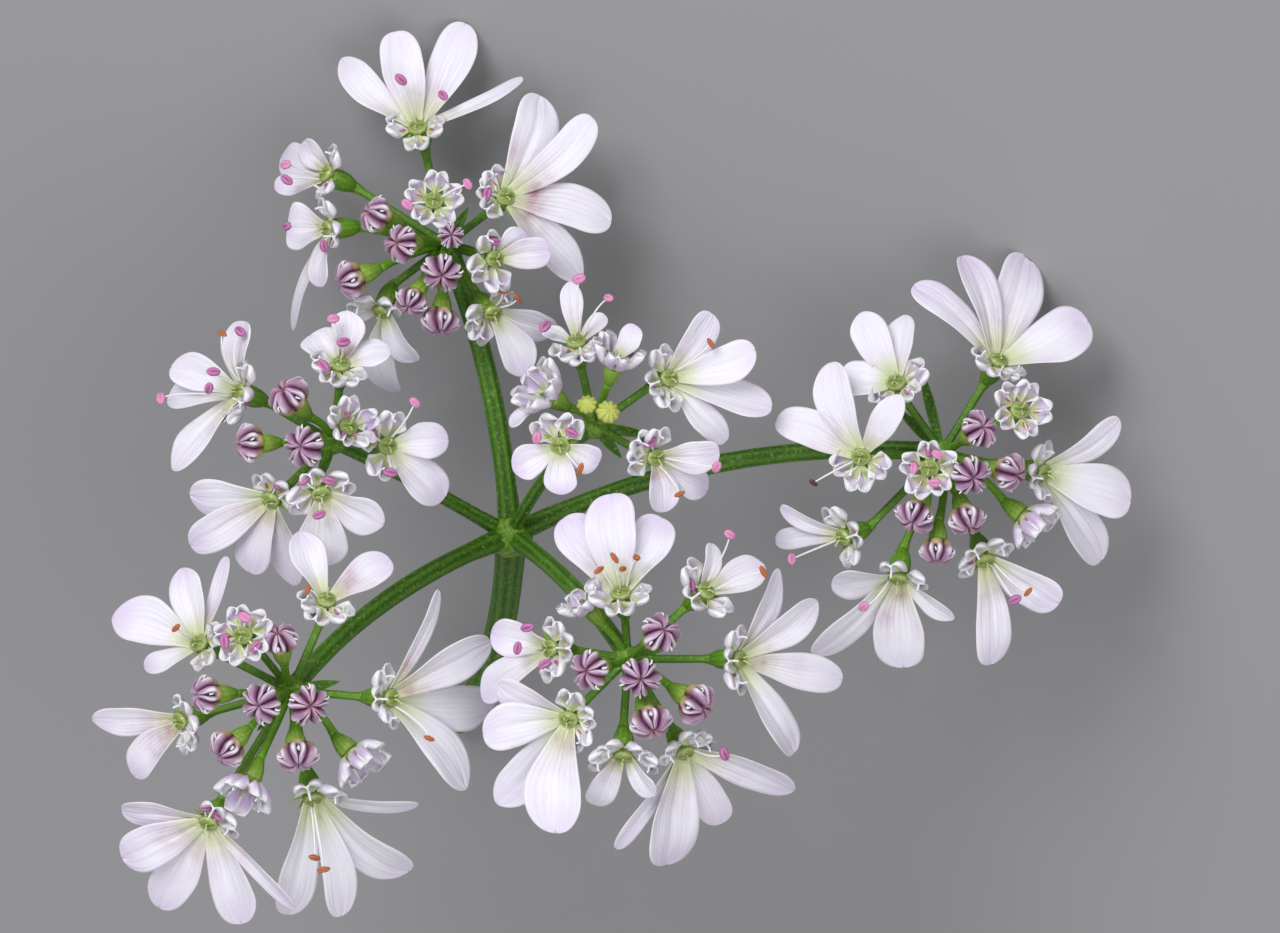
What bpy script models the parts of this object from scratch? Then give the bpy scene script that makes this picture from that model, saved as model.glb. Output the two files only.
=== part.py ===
"""A cut coriander flower head: stalk, six rays, six bud clusters and forty open flowers.

Everything is laid out in millimetres in the head's own frame: X to the right and Y up across its
face, Z out of the face, with the knot where the rays meet at the origin. An empty then turns the
whole head, so that it lies on a table on its stalk and the petals of two of its outer flowers.
"""

import math

import bmesh
import bpy
import numpy as np
from mathutils import Matrix, Vector

MM = 0.001  # metres in a millimetre
GAP = 0.1  # clear space between one piece and the next

RESTING_UP = (-0.2566, -0.4305, 0.8653)  # the table's upward direction, in the head's frame

STALK_END = (-2.7, -8.9, -15.0)
STALK_BOW = (0.5, -0.9, -0.6)  # how far the stalk's middle lies off a straight line
STALK_RADIUS = 0.65
KNOT_RADIUS = 1.2
SMALL_KNOT_RADIUS = 0.72
STUB_REACH = 1.55  # the flower stalks part from one another this far from their small knot
ROOT_DEPTH = 0.25  # the roots start this far past the small knot's middle
NECK_REACH = 1.5  # the small knot's piece takes in this much of its ray

FLOWER_STALK_RADIUS = 0.22
OVARY_RADIUS = 0.58
OVARY_FOOT_RADIUS = 0.28
OVARY_LENGTH = 1.35
DISC_RADIUS = 0.5
DISC_THICKNESS = 0.24
DISC_RISE = 0.22
RIM_SIDES = 8

PETAL_THICKNESS = 0.13
PETAL_WIDTH_SHARE = 0.9  # the solid petal is a little narrower than the living one
PETAL_ARCH = 0.1  # how far a petal bows out, as a share of its length
PETAL_DROOP = 0.5  # share of the flower's tilt that its petals follow
PETAL_OUTLINE = ((0.34, 0.66), (0.76, 1.0), (1.0, 0.6))  # place along the petal, share of its width
SMALL_PETAL_LENGTH = 1.15
SMALL_PETAL_WIDTH = 0.85
SMALL_PETAL_RISE = 0.55
SMALL_PETAL_OUTLINE = ((0.6, 1.0), (1.0, 0.55))

PETAL_CLEARANCE = 0.34  # between the sample points of two petals
SOLID_CLEARANCE = 0.24  # between a petal's sample points and a round piece's surface
LIFTS = (0.0, 0.3, -0.3, 0.6, -0.6, 0.9, -0.9, 1.2, -1.2, 1.6, -1.6, 2.0, -2.0, 2.5, -2.5)

PETAL_WHITE = (0.86, 0.85, 0.90)
STEM_GREEN = (0.10, 0.24, 0.04)
BUD_LILAC = (0.50, 0.38, 0.52)

# One entry for each umbellet: its knot, its ray's radius and how far the ray bows off a straight line.
RAYS = {
    "top": ((-2.9, 13.3, 2.0), 0.42, (0.5, 0.3, 0.4)),
    "left": ((-7.9, 4.3, 8.0), 0.3, (-0.5, 0.4, -0.4)),
    "centre": ((3.9, 5.0, 9.0), 0.28, (-0.2, 0.3, 0.2)),
    "right": ((19.6, 3.8, 6.0), 0.38, (-0.3, 1.4, 0.5)),
    "lower": ((5.4, -5.4, 12.0), 0.38, (0.3, 0.3, 0.4)),
    "lower_left": ((-9.6, -6.8, 12.0), 0.4, (-0.6, 0.6, 0.2)),
}

# Open flowers, place from the umbellet's knot, bearing and tilt of the way the flower faces, big petal
# lobes as bearing, reach, width and a rise of the tip, and the bearings of its small inner petals.
FLOWERS = {
    "top": (
        ((-1.3, 5.3, 0.2), (108, 35),
         ((137, 5.0, 1.4, 0), (103, 4.6, 1.8, 0), (66, 5.3, 1.8, 0), (25, 5.3, 0.8, 0)), (187, 350, 270)),
        ((2.7, 2.1, 2.0), (38, 20),
         ((70, 5.0, 2.1, 0), (42, 5.4, 1.6, 0), (-12, 5.0, 2.0, 0), (-47, 5.1, 1.8, 0)), (160, 215)),
        ((-5.4, 3.2, 0.2), (155, 60),
         ((126, 1.9, 1.4, 1.4), (158, 2.5, 1.5, -1.4), (190, 2.5, 1.0, 0.2)), (20,)),
        ((-5.3, 0.7, 1.2), (185, 60),
         ((180, 2.0, 2.0, 0.6), (-100, 2.7, 1.5, 0.8), (-112, 5.0, 0.8, -0.8)), (60,)),
        ((-2.9, -3.0, 1.0), (250, 55),
         ((-60, 2.8, 1.5, 0.4), (-85, 4.0, 1.4, -1.6), (190, 1.6, 1.0, 0)), (60,)),
        ((-0.5, 1.9, 3.4), (100, 10), (), (15, 85, 155, 230, 300)),
        ((2.2, -0.7, 3.2), (-15, 30), ((35, 1.9, 1.3, 0), (8, 2.6, 1.4, 0)), (120, 200, 280)),
        ((2.1, -3.1, 2.2), (-50, 40), ((-18, 3.0, 1.5, 0), (-62, 3.3, 1.5, 0)), (80, 170, 240)),
    ),
    "left": (
        ((-4.1, 2.2, 0.8), (160, 50),
         ((87, 3.2, 1.8, 0.6), (160, 3.4, 1.5, 0.4), (185, 3.6, 1.3, -0.6), (-132, 4.7, 1.5, 0.2)), (330,)),
        ((0.4, 3.4, 1.2), (85, 35), ((134, 2.0, 1.7, 0), (82, 2.5, 1.4, 0), (20, 2.3, 1.4, 0)), (250, 310)),
        ((2.5, -0.2, 2.2), (0, 20), ((6, 2.8, 1.5, 0), (-42, 3.5, 1.7, 0)), (80, 160, 240)),
        ((-2.7, -2.6, 1.0), (220, 35),
         ((178, 3.8, 1.7, 0), (-150, 4.3, 1.6, 0), (-108, 3.5, 1.7, 0), (-75, 4.0, 1.6, 0)), (30, 100)),
        ((-0.4, -2.3, 2.9), (-80, 30), ((-27, 3.1, 1.6, 0), (-88, 3.3, 2.1, 0)), (40, 110, 190)),
    ),
    "centre": (
        ((-0.8, 3.7, 1.4), (100, 40),
         ((96, 2.8, 1.0, 0), (45, 1.8, 0.9, 0), (160, 1.6, 0.9, 0)), (240, 320)),
        ((3.3, 2.1, 1.4), (20, 30),
         ((56, 3.5, 1.5, 0), (18, 4.1, 1.6, 0), (-16, 4.8, 1.6, 0), (-46, 3.9, 1.3, 0)), (120, 200)),
        ((-1.5, -0.9, 3.0), (190, 10),
         ((-151, 2.4, 1.4, 0), (-88, 2.2, 1.4, 0), (-25, 1.9, 1.3, 0)), (60, 130)),
        ((2.7, -1.4, 1.6), (-20, 30),
         ((4, 2.9, 1.4, 0), (-32, 2.9, 1.4, 0), (-82, 2.5, 1.4, 0)), (100, 190)),
    ),
    "right": (
        ((2.5, 4.1, 0.6), (60, 45),
         ((136, 5.2, 1.6, 0), (107, 5.1, 1.7, 0), (73, 5.2, 2.2, 0), (25, 4.6, 2.3, 0)), (200, 300)),
        ((-2.1, 3.1, 1.4), (120, 30),
         ((116, 3.6, 1.6, 0), (82, 3.2, 1.3, 0), (175, 2.6, 1.7, 0)), (240, 320)),
        ((-3.7, -0.2, 2.2), (180, 10),
         ((109, 4.5, 1.6, 0), (155, 4.2, 1.6, 0), (58, 3.3, 1.3, 0)), (200, 270, 335)),
        ((-4.4, -3.8, 0.4), (200, 50), ((155, 3.2, 0.8, 0), (184, 3.2, 1.0, 0)), (20, 300)),
        ((-2.0, -5.6, 1.0), (-100, 55),
         ((182, 3.0, 1.8, 0.4), (-137, 5.1, 1.6, 0), (-86, 4.2, 2.2, 0), (-38, 3.2, 1.0, 0)), (90,)),
        ((1.9, -4.8, 1.0), (-70, 45), ((-85, 4.9, 1.6, 0), (-30, 3.9, 1.8, 0)), (60, 180)),
        ((4.5, -0.9, 0.6), (-10, 50),
         ((34, 4.3, 1.3, 0), (-17, 4.3, 2.2, 0), (-55, 4.9, 1.8, 0)), (120, 230)),
        ((3.4, 1.9, 2.4), (30, 15), (), (0, 72, 144, 216, 288)),
        ((-0.7, -0.7, 3.9), (180, 5), (), (20, 92, 164, 236, 308)),
    ),
    "lower": (
        ((-0.3, 2.9, 1.8), (100, 40),
         ((128, 4.2, 2.0, 0), (96, 4.5, 2.2, 0), (62, 3.9, 1.8, 0)), (200, 340)),
        ((-3.4, 0.5, 1.6), (175, 40), ((166, 2.8, 1.5, 0), (-144, 3.9, 1.5, 0)), (60, 300)),
        ((-2.6, -2.6, 2.0), (225, 25),
         ((155, 3.5, 1.5, 0), (-170, 3.9, 1.8, 0), (-130, 5.0, 1.8, 0), (-97, 5.1, 2.3, 0)), (10, 80)),
        ((3.4, 3.0, 1.4), (40, 40), ((24, 3.0, 1.5, 0), (80, 2.2, 1.0, 0)), (150, 300)),
        ((4.9, 0.0, 0.8), (0, 50),
         ((66, 4.4, 1.3, 0), (35, 4.5, 1.4, 0), (-12, 4.8, 1.5, 0), (-57, 5.0, 1.7, 0)), (180,)),
        ((2.5, -4.1, 0.8), (-60, 50),
         ((-125, 5.3, 1.0, 0), (-97, 5.3, 2.3, 0), (-62, 3.7, 1.5, 0), (-21, 5.3, 1.6, 0)), (90,)),
        ((-0.2, -4.2, 1.6), (-90, 50), ((-119, 2.7, 1.3, 0), (-51, 2.3, 1.3, 0)), (60, 120)),
    ),
    "lower_left": (
        ((-4.0, 2.1, 1.2), (150, 35),
         ((164, 4.2, 2.0, 0), (105, 3.5, 1.6, 0), (74, 4.0, 0.8, 0), (-158, 2.8, 1.0, 0)), (300, 10)),
        ((-2.0, 2.5, 3.2), (140, 10), (), (30, 102, 174, 246, 318)),
        ((-4.8, -1.3, 1.2), (195, 50), ((180, 4.1, 1.3, 0), (-132, 3.5, 1.5, 0)), (50, 300)),
        ((1.6, 4.0, 1.2), (75, 35), ((112, 3.3, 1.5, 0), (34, 3.4, 1.5, 0)), (200, 300)),
        ((4.4, -0.3, 1.0), (0, 50),
         ((64, 5.3, 0.9, 0), (29, 5.0, 1.6, 0), (-4, 4.7, 1.8, 0), (-50, 5.4, 1.8, 0)), (180,)),
        ((-3.6, -5.8, 1.0), (240, 40),
         ((174, 4.0, 1.4, 0), (-156, 4.4, 2.0, 0), (-121, 4.6, 1.8, 0),
          (-73, 4.8, 1.8, 0), (-46, 5.4, 0.9, 0)), (60,)),
        ((1.0, -4.7, 1.0), (-75, 55),
         ((-103, 5.6, 1.6, 0), (-78, 5.6, 1.4, 0), (-41, 5.6, 1.8, 0), (-6, 4.7, 1.0, 0)), (110,)),
    ),
}

# Buds, from the umbellet's knot, with the radius of the head of petals.
BUDS = {
    "top": ((-3.1, 1.3, 2.6, 0.75), (-4.3, -1.6, 2.4, 0.8), (-1.9, 0.0, 3.6, 0.75), (-0.1, -1.3, 3.9, 0.8),
            (-1.5, -2.6, 3.0, 0.7), (-0.2, -3.5, 2.4, 0.75), (0.3, 0.3, 4.4, 0.5)),
    "left": ((-3.6, -0.1, 2.4, 0.75), (-1.8, 2.0, 2.8, 0.8), (-1.1, -0.2, 3.4, 0.8), (0.9, 0.7, 3.4, 0.7)),
    "centre": ((1.0, 3.0, 2.8, 0.7), (-2.2, 1.5, 2.6, 0.8), (0.6, 0.6, 2.8, 0.45), (-0.3, 0.9, 2.6, 0.4)),
    "right": ((1.5, 1.0, 3.6, 0.75), (1.1, -1.0, 4.2, 0.8), (2.9, -0.9, 3.0, 0.75), (-1.3, -2.8, 3.2, 0.8),
              (1.0, -3.0, 3.0, 0.75), (-0.3, -4.4, 2.4, 0.7), (3.9, -3.1, 1.4, 0.8)),
    "lower": ((1.4, 1.2, 3.6, 0.8), (-1.6, -0.4, 3.6, 0.8), (1.0, -2.7, 3.2, 0.8), (3.0, -1.9, 2.8, 0.8),
              (-1.9, 2.6, 1.4, 0.7), (0.5, -0.7, 3.9, 0.8)),
    "lower_left": ((-3.6, -0.1, 3.2, 0.75), (0.9, -0.5, 3.9, 0.8), (-2.7, -2.5, 3.0, 0.75),
                   (0.4, -2.8, 3.2, 0.8), (-0.4, 2.3, 3.2, 0.75), (-1.1, -0.5, 3.7, 0.8),
                   (-1.9, -4.3, 2.2, 0.8), (3.0, -3.0, 1.6, 0.8)),
}

# Bractlets under the umbellets: bearing, reach and rise of the tip.
BRACTLETS = {
    "top": ((345, 2.2, -0.8), (60, 2.0, -0.6)),
    "left": ((25, 2.4, -0.6), (250, 2.0, -0.8)),
    "centre": ((310, 1.9, -0.2), (350, 2.6, -0.4)),
    "right": ((104, 4.2, -0.6), (135, 3.0, -1.0), (250, 2.2, -0.6)),
    "lower": ((20, 2.4, -0.8), (200, 2.2, -0.8)),
    "lower_left": ((230, 2.4, -0.8), (10, 2.2, -0.6)),
}
BRACTLET_RADIUS = 0.2


def unit(vector):
    return vector / np.linalg.norm(vector)


def facing(bearing, tilt):
    """The direction tilted away from the viewer's side by tilt, towards bearing, both in degrees."""
    turn = math.radians(bearing)
    lean = math.radians(tilt)
    return np.array((math.sin(lean) * math.cos(turn), math.sin(lean) * math.sin(turn), math.cos(lean)))


def cross_axes(direction, seed=(1.0, 0.0, 0.0)):
    """Two unit vectors square to direction, the first as near to seed as it can be."""
    first = np.array(seed) - direction * np.dot(direction, seed)
    if np.linalg.norm(first) < 0.2:
        first = np.array((0.0, 1.0, 0.0)) - direction * direction[1]
    first = unit(first)
    return first, np.cross(direction, first)


def bowed_path(start, end, bow, count):
    """Points on a parabola from start to end whose middle lies off the straight line by bow."""
    along = np.linspace(0, 1, count)[:, None]
    straight = np.array(start) * (1 - along) + np.array(end) * along
    return straight + np.array(bow) * 4 * along * (1 - along)


def thinned(path, count):
    """As many of the path's points, evenly spread and with both ends."""
    return path[np.linspace(0, len(path) - 1, count).round().astype(int)]


def ring(centre, direction, radius, sides):
    first, second = cross_axes(unit(direction))
    turns = np.arange(sides) * 2 * math.pi / sides
    return centre + radius * (np.cos(turns)[:, None] * first + np.sin(turns)[:, None] * second)


def tube_rings(path, radii, sides):
    """One ring round each point of path, square to the path there."""
    return [ring(p, d, r, sides) for p, d, r in zip(path, np.gradient(path, axis=0), radii)]


def add_ring(bm, points):
    return [bm.verts.new(Vector(p) * MM) for p in points]


def bridge(bm, lower, upper, skip=()):
    count = len(lower)
    for i in range(count):
        if i not in skip:
            j = (i + 1) % count
            bm.faces.new((lower[i], lower[j], upper[j], upper[i]))


def add_tube(bm, rings):
    """A closed tube through the rings, which run up its axis."""
    made = [add_ring(bm, points) for points in rings]
    for lower, upper in zip(made, made[1:]):
        bridge(bm, lower, upper)
    bm.faces.new(reversed(made[0]))
    bm.faces.new(made[-1])


def finish_mesh(bm, name, material, parent, place=(0, 0, 0)):
    """Makes the object, hung on its empty at its own place."""
    bmesh.ops.triangulate(bm, faces=bm.faces)
    mesh = bpy.data.meshes.new(name)
    bm.to_mesh(mesh)
    bm.free()
    mesh.shade_smooth()
    mesh.set_sharp_from_angle(angle=math.radians(40))
    mesh.materials.append(material)
    made = bpy.data.objects.new(name, mesh)
    made.parent = parent
    made.location = Vector(place) * MM
    bpy.context.scene.collection.objects.link(made)
    return made


def make_material(name, colour, roughness):
    material = bpy.data.materials.new(name)
    material.use_nodes = True
    shader = material.node_tree.nodes["Principled BSDF"]
    shader.inputs["Base Color"].default_value = (*colour, 1)
    shader.inputs["Roughness"].default_value = roughness
    shader.inputs["Metallic"].default_value = 0
    return material


def make_empty(name, parent=None, place=(0, 0, 0)):
    made = bpy.data.objects.new(name, None)
    made.parent = parent
    made.location = Vector(place) * MM
    bpy.context.scene.collection.objects.link(made)
    return made


def stalk_path():
    return bowed_path(STALK_END, (0, 0, 0), STALK_BOW, 7)


def make_stalk(material, parent):
    """The cut stalk, swelling into the knot where the rays meet."""
    path = stalk_path()
    axis = unit(path[-1] - path[-2])
    knot = (
        (-1.3, STALK_RADIUS), (-0.8, 0.95), (-0.2, KNOT_RADIUS), (0.4, 1.1), (0.85, 0.7),
    )
    rings = tube_rings(path[:-1], [STALK_RADIUS] * 6, 10)
    rings += [ring(axis * height, axis, radius, 10) for height, radius in knot]
    bm = bmesh.new()
    add_tube(bm, rings)
    return finish_mesh(bm, "stalk", material, parent)


def ray_path(name):
    """The ray from just outside the main knot to the umbellet's neck, and the neck, to its knot."""
    knot, _, bow = RAYS[name]
    path = bowed_path((0, 0, 0), knot, bow, 90)
    from_start = np.linalg.norm(path, axis=1)
    from_end = np.linalg.norm(path - np.array(knot), axis=1)
    clear = (from_start > KNOT_RADIUS + GAP) & (from_end > NECK_REACH + GAP)
    return path[clear], path[from_end < NECK_REACH]


def make_ray(name, material, parent):
    path = thinned(ray_path(name)[0], 5)
    bm = bmesh.new()
    add_tube(bm, tube_rings(path, [RAYS[name][1]] * len(path), 8))
    return finish_mesh(bm, "ray_" + name, material, parent)


def flower_axis_points(place, way):
    """Foot of the ovary and the flower's stalk from the umbellet's knot, relative to the knot."""
    foot = np.array(place) - way * (OVARY_LENGTH + DISC_THICKNESS / 2)
    bow = 0.12 * np.linalg.norm(foot) * unit(np.array((foot[0], foot[1], 0.0)) + 1e-6)
    return bowed_path((0, 0, 0), foot, bow, 25)


def petal_shape(flower, petal, lift, along):
    """Centre line, side direction and face normal of a petal lobe, relative to the disc's middle."""
    way = flower["way"]
    bearing, reach, width, rise = petal["lobe"]
    turn = math.radians(bearing)
    across = np.array((math.cos(turn), math.sin(turn), 0.0))
    if petal["small"]:
        flat = unit(across - way * np.dot(across, way))
        tip = flat * reach + way * (rise + lift * 0.3)
    else:
        lean = -np.dot(way, across) / max(way[2], 0.5)
        tip = across * reach + np.array((0, 0, reach * lean * PETAL_DROOP + rise + lift))
    start = petal["root"]
    middle = (start + tip) / 2 + way * PETAL_ARCH * reach
    s = along[:, None]
    line = start * (1 - s) ** 2 + middle * 2 * s * (1 - s) + tip * s ** 2
    heading = (middle - start) * (1 - s) + (tip - middle) * s
    heading = heading / np.linalg.norm(heading, axis=1, keepdims=True)
    normal = way - heading * (heading @ way)[:, None]
    normal = normal / np.maximum(np.linalg.norm(normal, axis=1, keepdims=True), 1e-6)
    return line, np.cross(normal, heading), normal


def sample_petal(flower, petal, lift):
    """Points spread over a petal lobe, from a third of the way out."""
    along = np.linspace(0.3, 1, 9)
    line, side, _ = petal_shape(flower, petal, lift, along)
    outline = ((0, 0.3), *(PETAL_OUTLINE if not petal["small"] else SMALL_PETAL_OUTLINE))
    half = np.interp(along, [p[0] for p in outline], [p[1] for p in outline]) * petal["lobe"][2] / 2
    spread = np.linspace(-1, 1, 5)[None, :, None]
    points = line[:, None, :] + side[:, None, :] * half[:, None, None] * spread
    return points.reshape(-1, 3) + flower["middle"]


def nearest(points, others):
    """The least distance from points to others, which hold a place and a radius each."""
    if not len(others):
        return 9.0
    middle = points.mean(axis=0)
    near = others[np.linalg.norm(others[:, :3] - middle, axis=1) < 5.5]
    if not len(near):
        return 9.0
    apart = np.linalg.norm(points[:, None, :] - near[None, :, :3], axis=2) - near[None, :, 3]
    return apart.min()


def with_radius(points, radius):
    return np.column_stack((points, np.full(len(points), radius)))


def turn_between(first, second):
    """The angle between two turns, the short way round."""
    return abs((first - second + math.pi) % (2 * math.pi) - math.pi)


def rim_turn(face):
    """Where the middle of a side of the disc's rim lies, as a turn from its first axis."""
    return (face + 0.5) * 2 * math.pi / RIM_SIDES


def rim_faces(flower, bearings):
    """Gives each petal its own side of the disc's rim, the free one nearest to its bearing."""
    first, second = cross_axes(flower["way"])
    free = list(range(RIM_SIDES))
    taken = []
    for bearing in bearings:
        turn = math.radians(bearing)
        across = np.array((math.cos(turn), math.sin(turn), 0.0))
        wanted = math.atan2(np.dot(across, second), np.dot(across, first))
        best = min(free, key=lambda face: turn_between(rim_turn(face), wanted))
        free.remove(best)
        taken.append(best)
    return taken


def lay_out_flowers():
    """All flowers with their petals, before the petals are laid clear of one another."""
    flowers = []
    for umbellet, rows in FLOWERS.items():
        knot = np.array(RAYS[umbellet][0])
        for number, (place, (bearing, tilt), lobes, small) in enumerate(rows, 1):
            way = facing(bearing, tilt)
            flower = {"name": f"flower_{umbellet}_{number}", "umbellet": umbellet, "place": place}
            flower["way"] = way
            flower["middle"] = knot + np.array(place)
            flower["stalk"] = flower_axis_points(place, way)
            small_lobes = [(b, SMALL_PETAL_LENGTH, SMALL_PETAL_WIDTH, SMALL_PETAL_RISE) for b in small]
            petals = [{"lobe": lobe, "small": False} for lobe in lobes]
            petals += [{"lobe": lobe, "small": True} for lobe in small_lobes]
            first, second = cross_axes(way)
            for petal, face in zip(petals, rim_faces(flower, [p["lobe"][0] for p in petals])):
                turn = rim_turn(face)
                petal["face"] = face
                petal["root"] = DISC_RADIUS * (math.cos(turn) * first + math.sin(turn) * second)
            flower["petals"] = petals
            flowers.append(flower)
    return flowers


def round_pieces(flowers):
    """Sample points with a radius on every stalk, ovary, disc and bud, and the flower each is on."""
    points = [with_radius(stalk_path(), STALK_RADIUS)]
    points += [with_radius(np.vstack(ray_path(name)), RAYS[name][1]) for name in RAYS]
    owners = [np.full(sum(len(p) for p in points), -1)]
    for number, flower in enumerate(flowers):
        body = flower["middle"] - flower["way"] * 0.75
        knot = np.array(RAYS[flower["umbellet"]][0])
        own = np.vstack((
            with_radius(flower["stalk"] + knot, FLOWER_STALK_RADIUS),
            (*body, OVARY_RADIUS),
            (*flower["middle"], DISC_RADIUS),
        ))
        points.append(own)
        owners.append(np.full(len(own), number))
    for name, buds in BUDS.items():
        knot = np.array(RAYS[name][0])
        for bud in buds:
            head = np.array(bud[:3])
            line = bowed_path((0, 0, 0), head, (0, 0, 0), 12)
            own = np.vstack((with_radius(line + knot, 0.3), (*(head + knot), bud[3] + 0.05)))
            points.append(own)
            owners.append(np.full(len(own), -1))
    return np.vstack(points), np.concatenate(owners)


def lay_petals(flowers):
    """Raises or lowers each petal in turn, by the least step that keeps it clear of the rest."""
    solids, owners = round_pieces(flowers)
    laid = np.empty((0, 4))
    for number, flower in enumerate(flowers):
        others = solids[owners != number]
        for petal in flower["petals"]:
            best = None
            for lift in LIFTS:
                points = sample_petal(flower, petal, lift)
                room = min(
                    nearest(points, others) - SOLID_CLEARANCE,
                    nearest(points, laid) - PETAL_CLEARANCE,
                )
                if best is None or room > best[0]:
                    best = (room, lift, points)
                if room > 0:
                    break
            petal["lift"] = best[1]
            laid = np.vstack((laid, with_radius(best[2], 0.0)))


def add_petal(bm, flower, petal, lower, upper):
    """Draws a petal lobe out of its own side of the disc's rim."""
    outline = SMALL_PETAL_OUTLINE if petal["small"] else PETAL_OUTLINE
    along = np.array([p[0] for p in outline])
    line, side, normal = petal_shape(flower, petal, petal["lift"], along)
    share = 1.0 if petal["small"] else PETAL_WIDTH_SHARE
    half = np.array([p[1] for p in outline])[:, None] * petal["lobe"][2] * share / 2
    thick = normal * PETAL_THICKNESS / 2
    after = (petal["face"] + 1) % RIM_SIDES
    last = [lower[petal["face"]], lower[after], upper[after], upper[petal["face"]]]
    corners = np.stack((
        line - side * half - thick,
        line + side * half - thick,
        line + side * half + thick,
        line - side * half + thick,
    ), axis=1)
    for section in corners:
        made = add_ring(bm, section)
        bridge(bm, last, made)
        last = made
    bm.faces.new(last)


def make_flower(flower, material, parent):
    """Stalk, ovary and disc in one turned form, and the petals drawn out of the disc's rim."""
    way = flower["way"]
    stalk = flower["stalk"] - np.array(flower["place"])
    reach = np.linalg.norm(flower["stalk"], axis=1)
    stalk = thinned(stalk[reach > STUB_REACH + GAP], 3)[:-1]
    base = -OVARY_LENGTH - DISC_THICKNESS / 2
    path = np.vstack((stalk, way * base))
    rings = tube_rings(path, [FLOWER_STALK_RADIUS] * len(path), RIM_SIDES)[:-1]
    rings.append(ring(way * base, way, OVARY_FOOT_RADIUS, RIM_SIDES))
    rings.append(ring(way * base * 0.5, way, OVARY_RADIUS, RIM_SIDES))
    bm = bmesh.new()
    made = [add_ring(bm, points) for points in rings]
    lower = add_ring(bm, ring(-way * DISC_THICKNESS / 2, way, DISC_RADIUS, RIM_SIDES))
    upper = add_ring(bm, ring(way * DISC_THICKNESS / 2, way, DISC_RADIUS, RIM_SIDES))
    made.append(lower)
    for below, above in zip(made, made[1:]):
        bridge(bm, below, above)
    bm.faces.new(reversed(made[0]))
    bridge(bm, lower, upper, skip=[p["face"] for p in flower["petals"]])
    top = bm.verts.new(Vector(way * (DISC_THICKNESS / 2 + DISC_RISE)) * MM)
    for i in range(RIM_SIDES):
        bm.faces.new((upper[i], upper[(i + 1) % RIM_SIDES], top))
    for petal in flower["petals"]:
        add_petal(bm, flower, petal, lower, upper)
    return finish_mesh(bm, flower["name"], material, parent, flower["place"])


def add_bud(bm, bud):
    """A bud's thin stalk, ovary and round head of closed petals."""
    head = np.array(bud[:3])
    size = bud[3]
    way = unit(head)
    far = np.linalg.norm(head)
    profile = (
        (0.2, 0.2), (far - size - 0.9, 0.2), (far - size - 0.2, 0.7 * size),
        (far, size), (far + 0.45 * size, 0.7 * size),
    )
    add_tube(bm, [ring(way * height, way, radius, 6) for height, radius in profile])


def make_bud_cluster(name, flowers, material, parent):
    """The umbellet's small knot with the roots of its flower stalks, its buds and its bractlets."""
    bm = bmesh.new()
    for flower in flowers:
        if flower["umbellet"] == name:
            path = flower["stalk"]
            reach = np.linalg.norm(path, axis=1)
            root = path[reach < STUB_REACH]
            ends = np.vstack((-ROOT_DEPTH * unit(root[-1]), root[-1]))
            add_tube(bm, tube_rings(ends, [FLOWER_STALK_RADIUS] * 2, 6))
    neck = thinned(ray_path(name)[1], 2) - np.array(RAYS[name][0])
    add_tube(bm, tube_rings(neck, [RAYS[name][1]] * 2, 8))
    for bud in BUDS[name]:
        add_bud(bm, bud)
    for bearing, reach, rise in BRACTLETS[name]:
        turn = math.radians(bearing)
        tip = (reach * math.cos(turn), reach * math.sin(turn), rise)
        path = bowed_path((0, 0, 0), tip, (0, 0, -0.2), 3)
        add_tube(bm, tube_rings(path, (BRACTLET_RADIUS, BRACTLET_RADIUS * 1.2, 0.05), 4))
    parts = finish_mesh(bm, name + "_stalk_roots", material, parent)
    parts.hide_render = True
    parts.display_type = "WIRE"
    bm = bmesh.new()
    bmesh.ops.create_uvsphere(bm, u_segments=8, v_segments=5, radius=SMALL_KNOT_RADIUS * MM)
    cluster = finish_mesh(bm, "buds_" + name, material, parent)
    union = cluster.modifiers.new("join", "BOOLEAN")
    union.operation = "UNION"
    union.solver = "EXACT"
    union.use_self = True
    union.object = parts
    return cluster


def lay_down(head):
    """Turns the head onto the table and puts the middle of its box's underside at the origin."""
    up = unit(np.array(RESTING_UP))
    right, away = cross_axes(up)
    turn = Matrix((right, away, up)).to_4x4()
    head.matrix_world = turn
    bpy.context.view_layer.update()
    shown = [o for o in bpy.context.scene.objects if o.type == "MESH" and not o.hide_render]
    graph = bpy.context.evaluated_depsgraph_get()
    corners = []
    for one in shown:
        evaluated = one.evaluated_get(graph)
        corners += [evaluated.matrix_world @ v.co for v in evaluated.data.vertices]
    places = np.array(corners)
    low = places.min(axis=0)
    high = places.max(axis=0)
    middle = (low + high) / 2
    head.matrix_world = Matrix.Translation((-middle[0], -middle[1], -low[2])) @ turn


def build():
    for old in list(bpy.data.objects):
        bpy.data.objects.remove(old, do_unlink=True)
    head = make_empty("head")
    stem_green = make_material("stem_green", STEM_GREEN, 0.5)
    petal_white = make_material("petal_white", PETAL_WHITE, 0.55)
    bud_lilac = make_material("bud_lilac", BUD_LILAC, 0.5)
    flowers = lay_out_flowers()
    lay_petals(flowers)
    make_stalk(stem_green, head)
    for name in RAYS:
        make_ray(name, stem_green, head)
        umbellet = make_empty("umbellet_" + name, head, RAYS[name][0])
        make_bud_cluster(name, flowers, bud_lilac, umbellet)
        for flower in flowers:
            if flower["umbellet"] == name:
                make_flower(flower, petal_white, umbellet)
    lay_down(head)


build()
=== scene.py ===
import math

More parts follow.
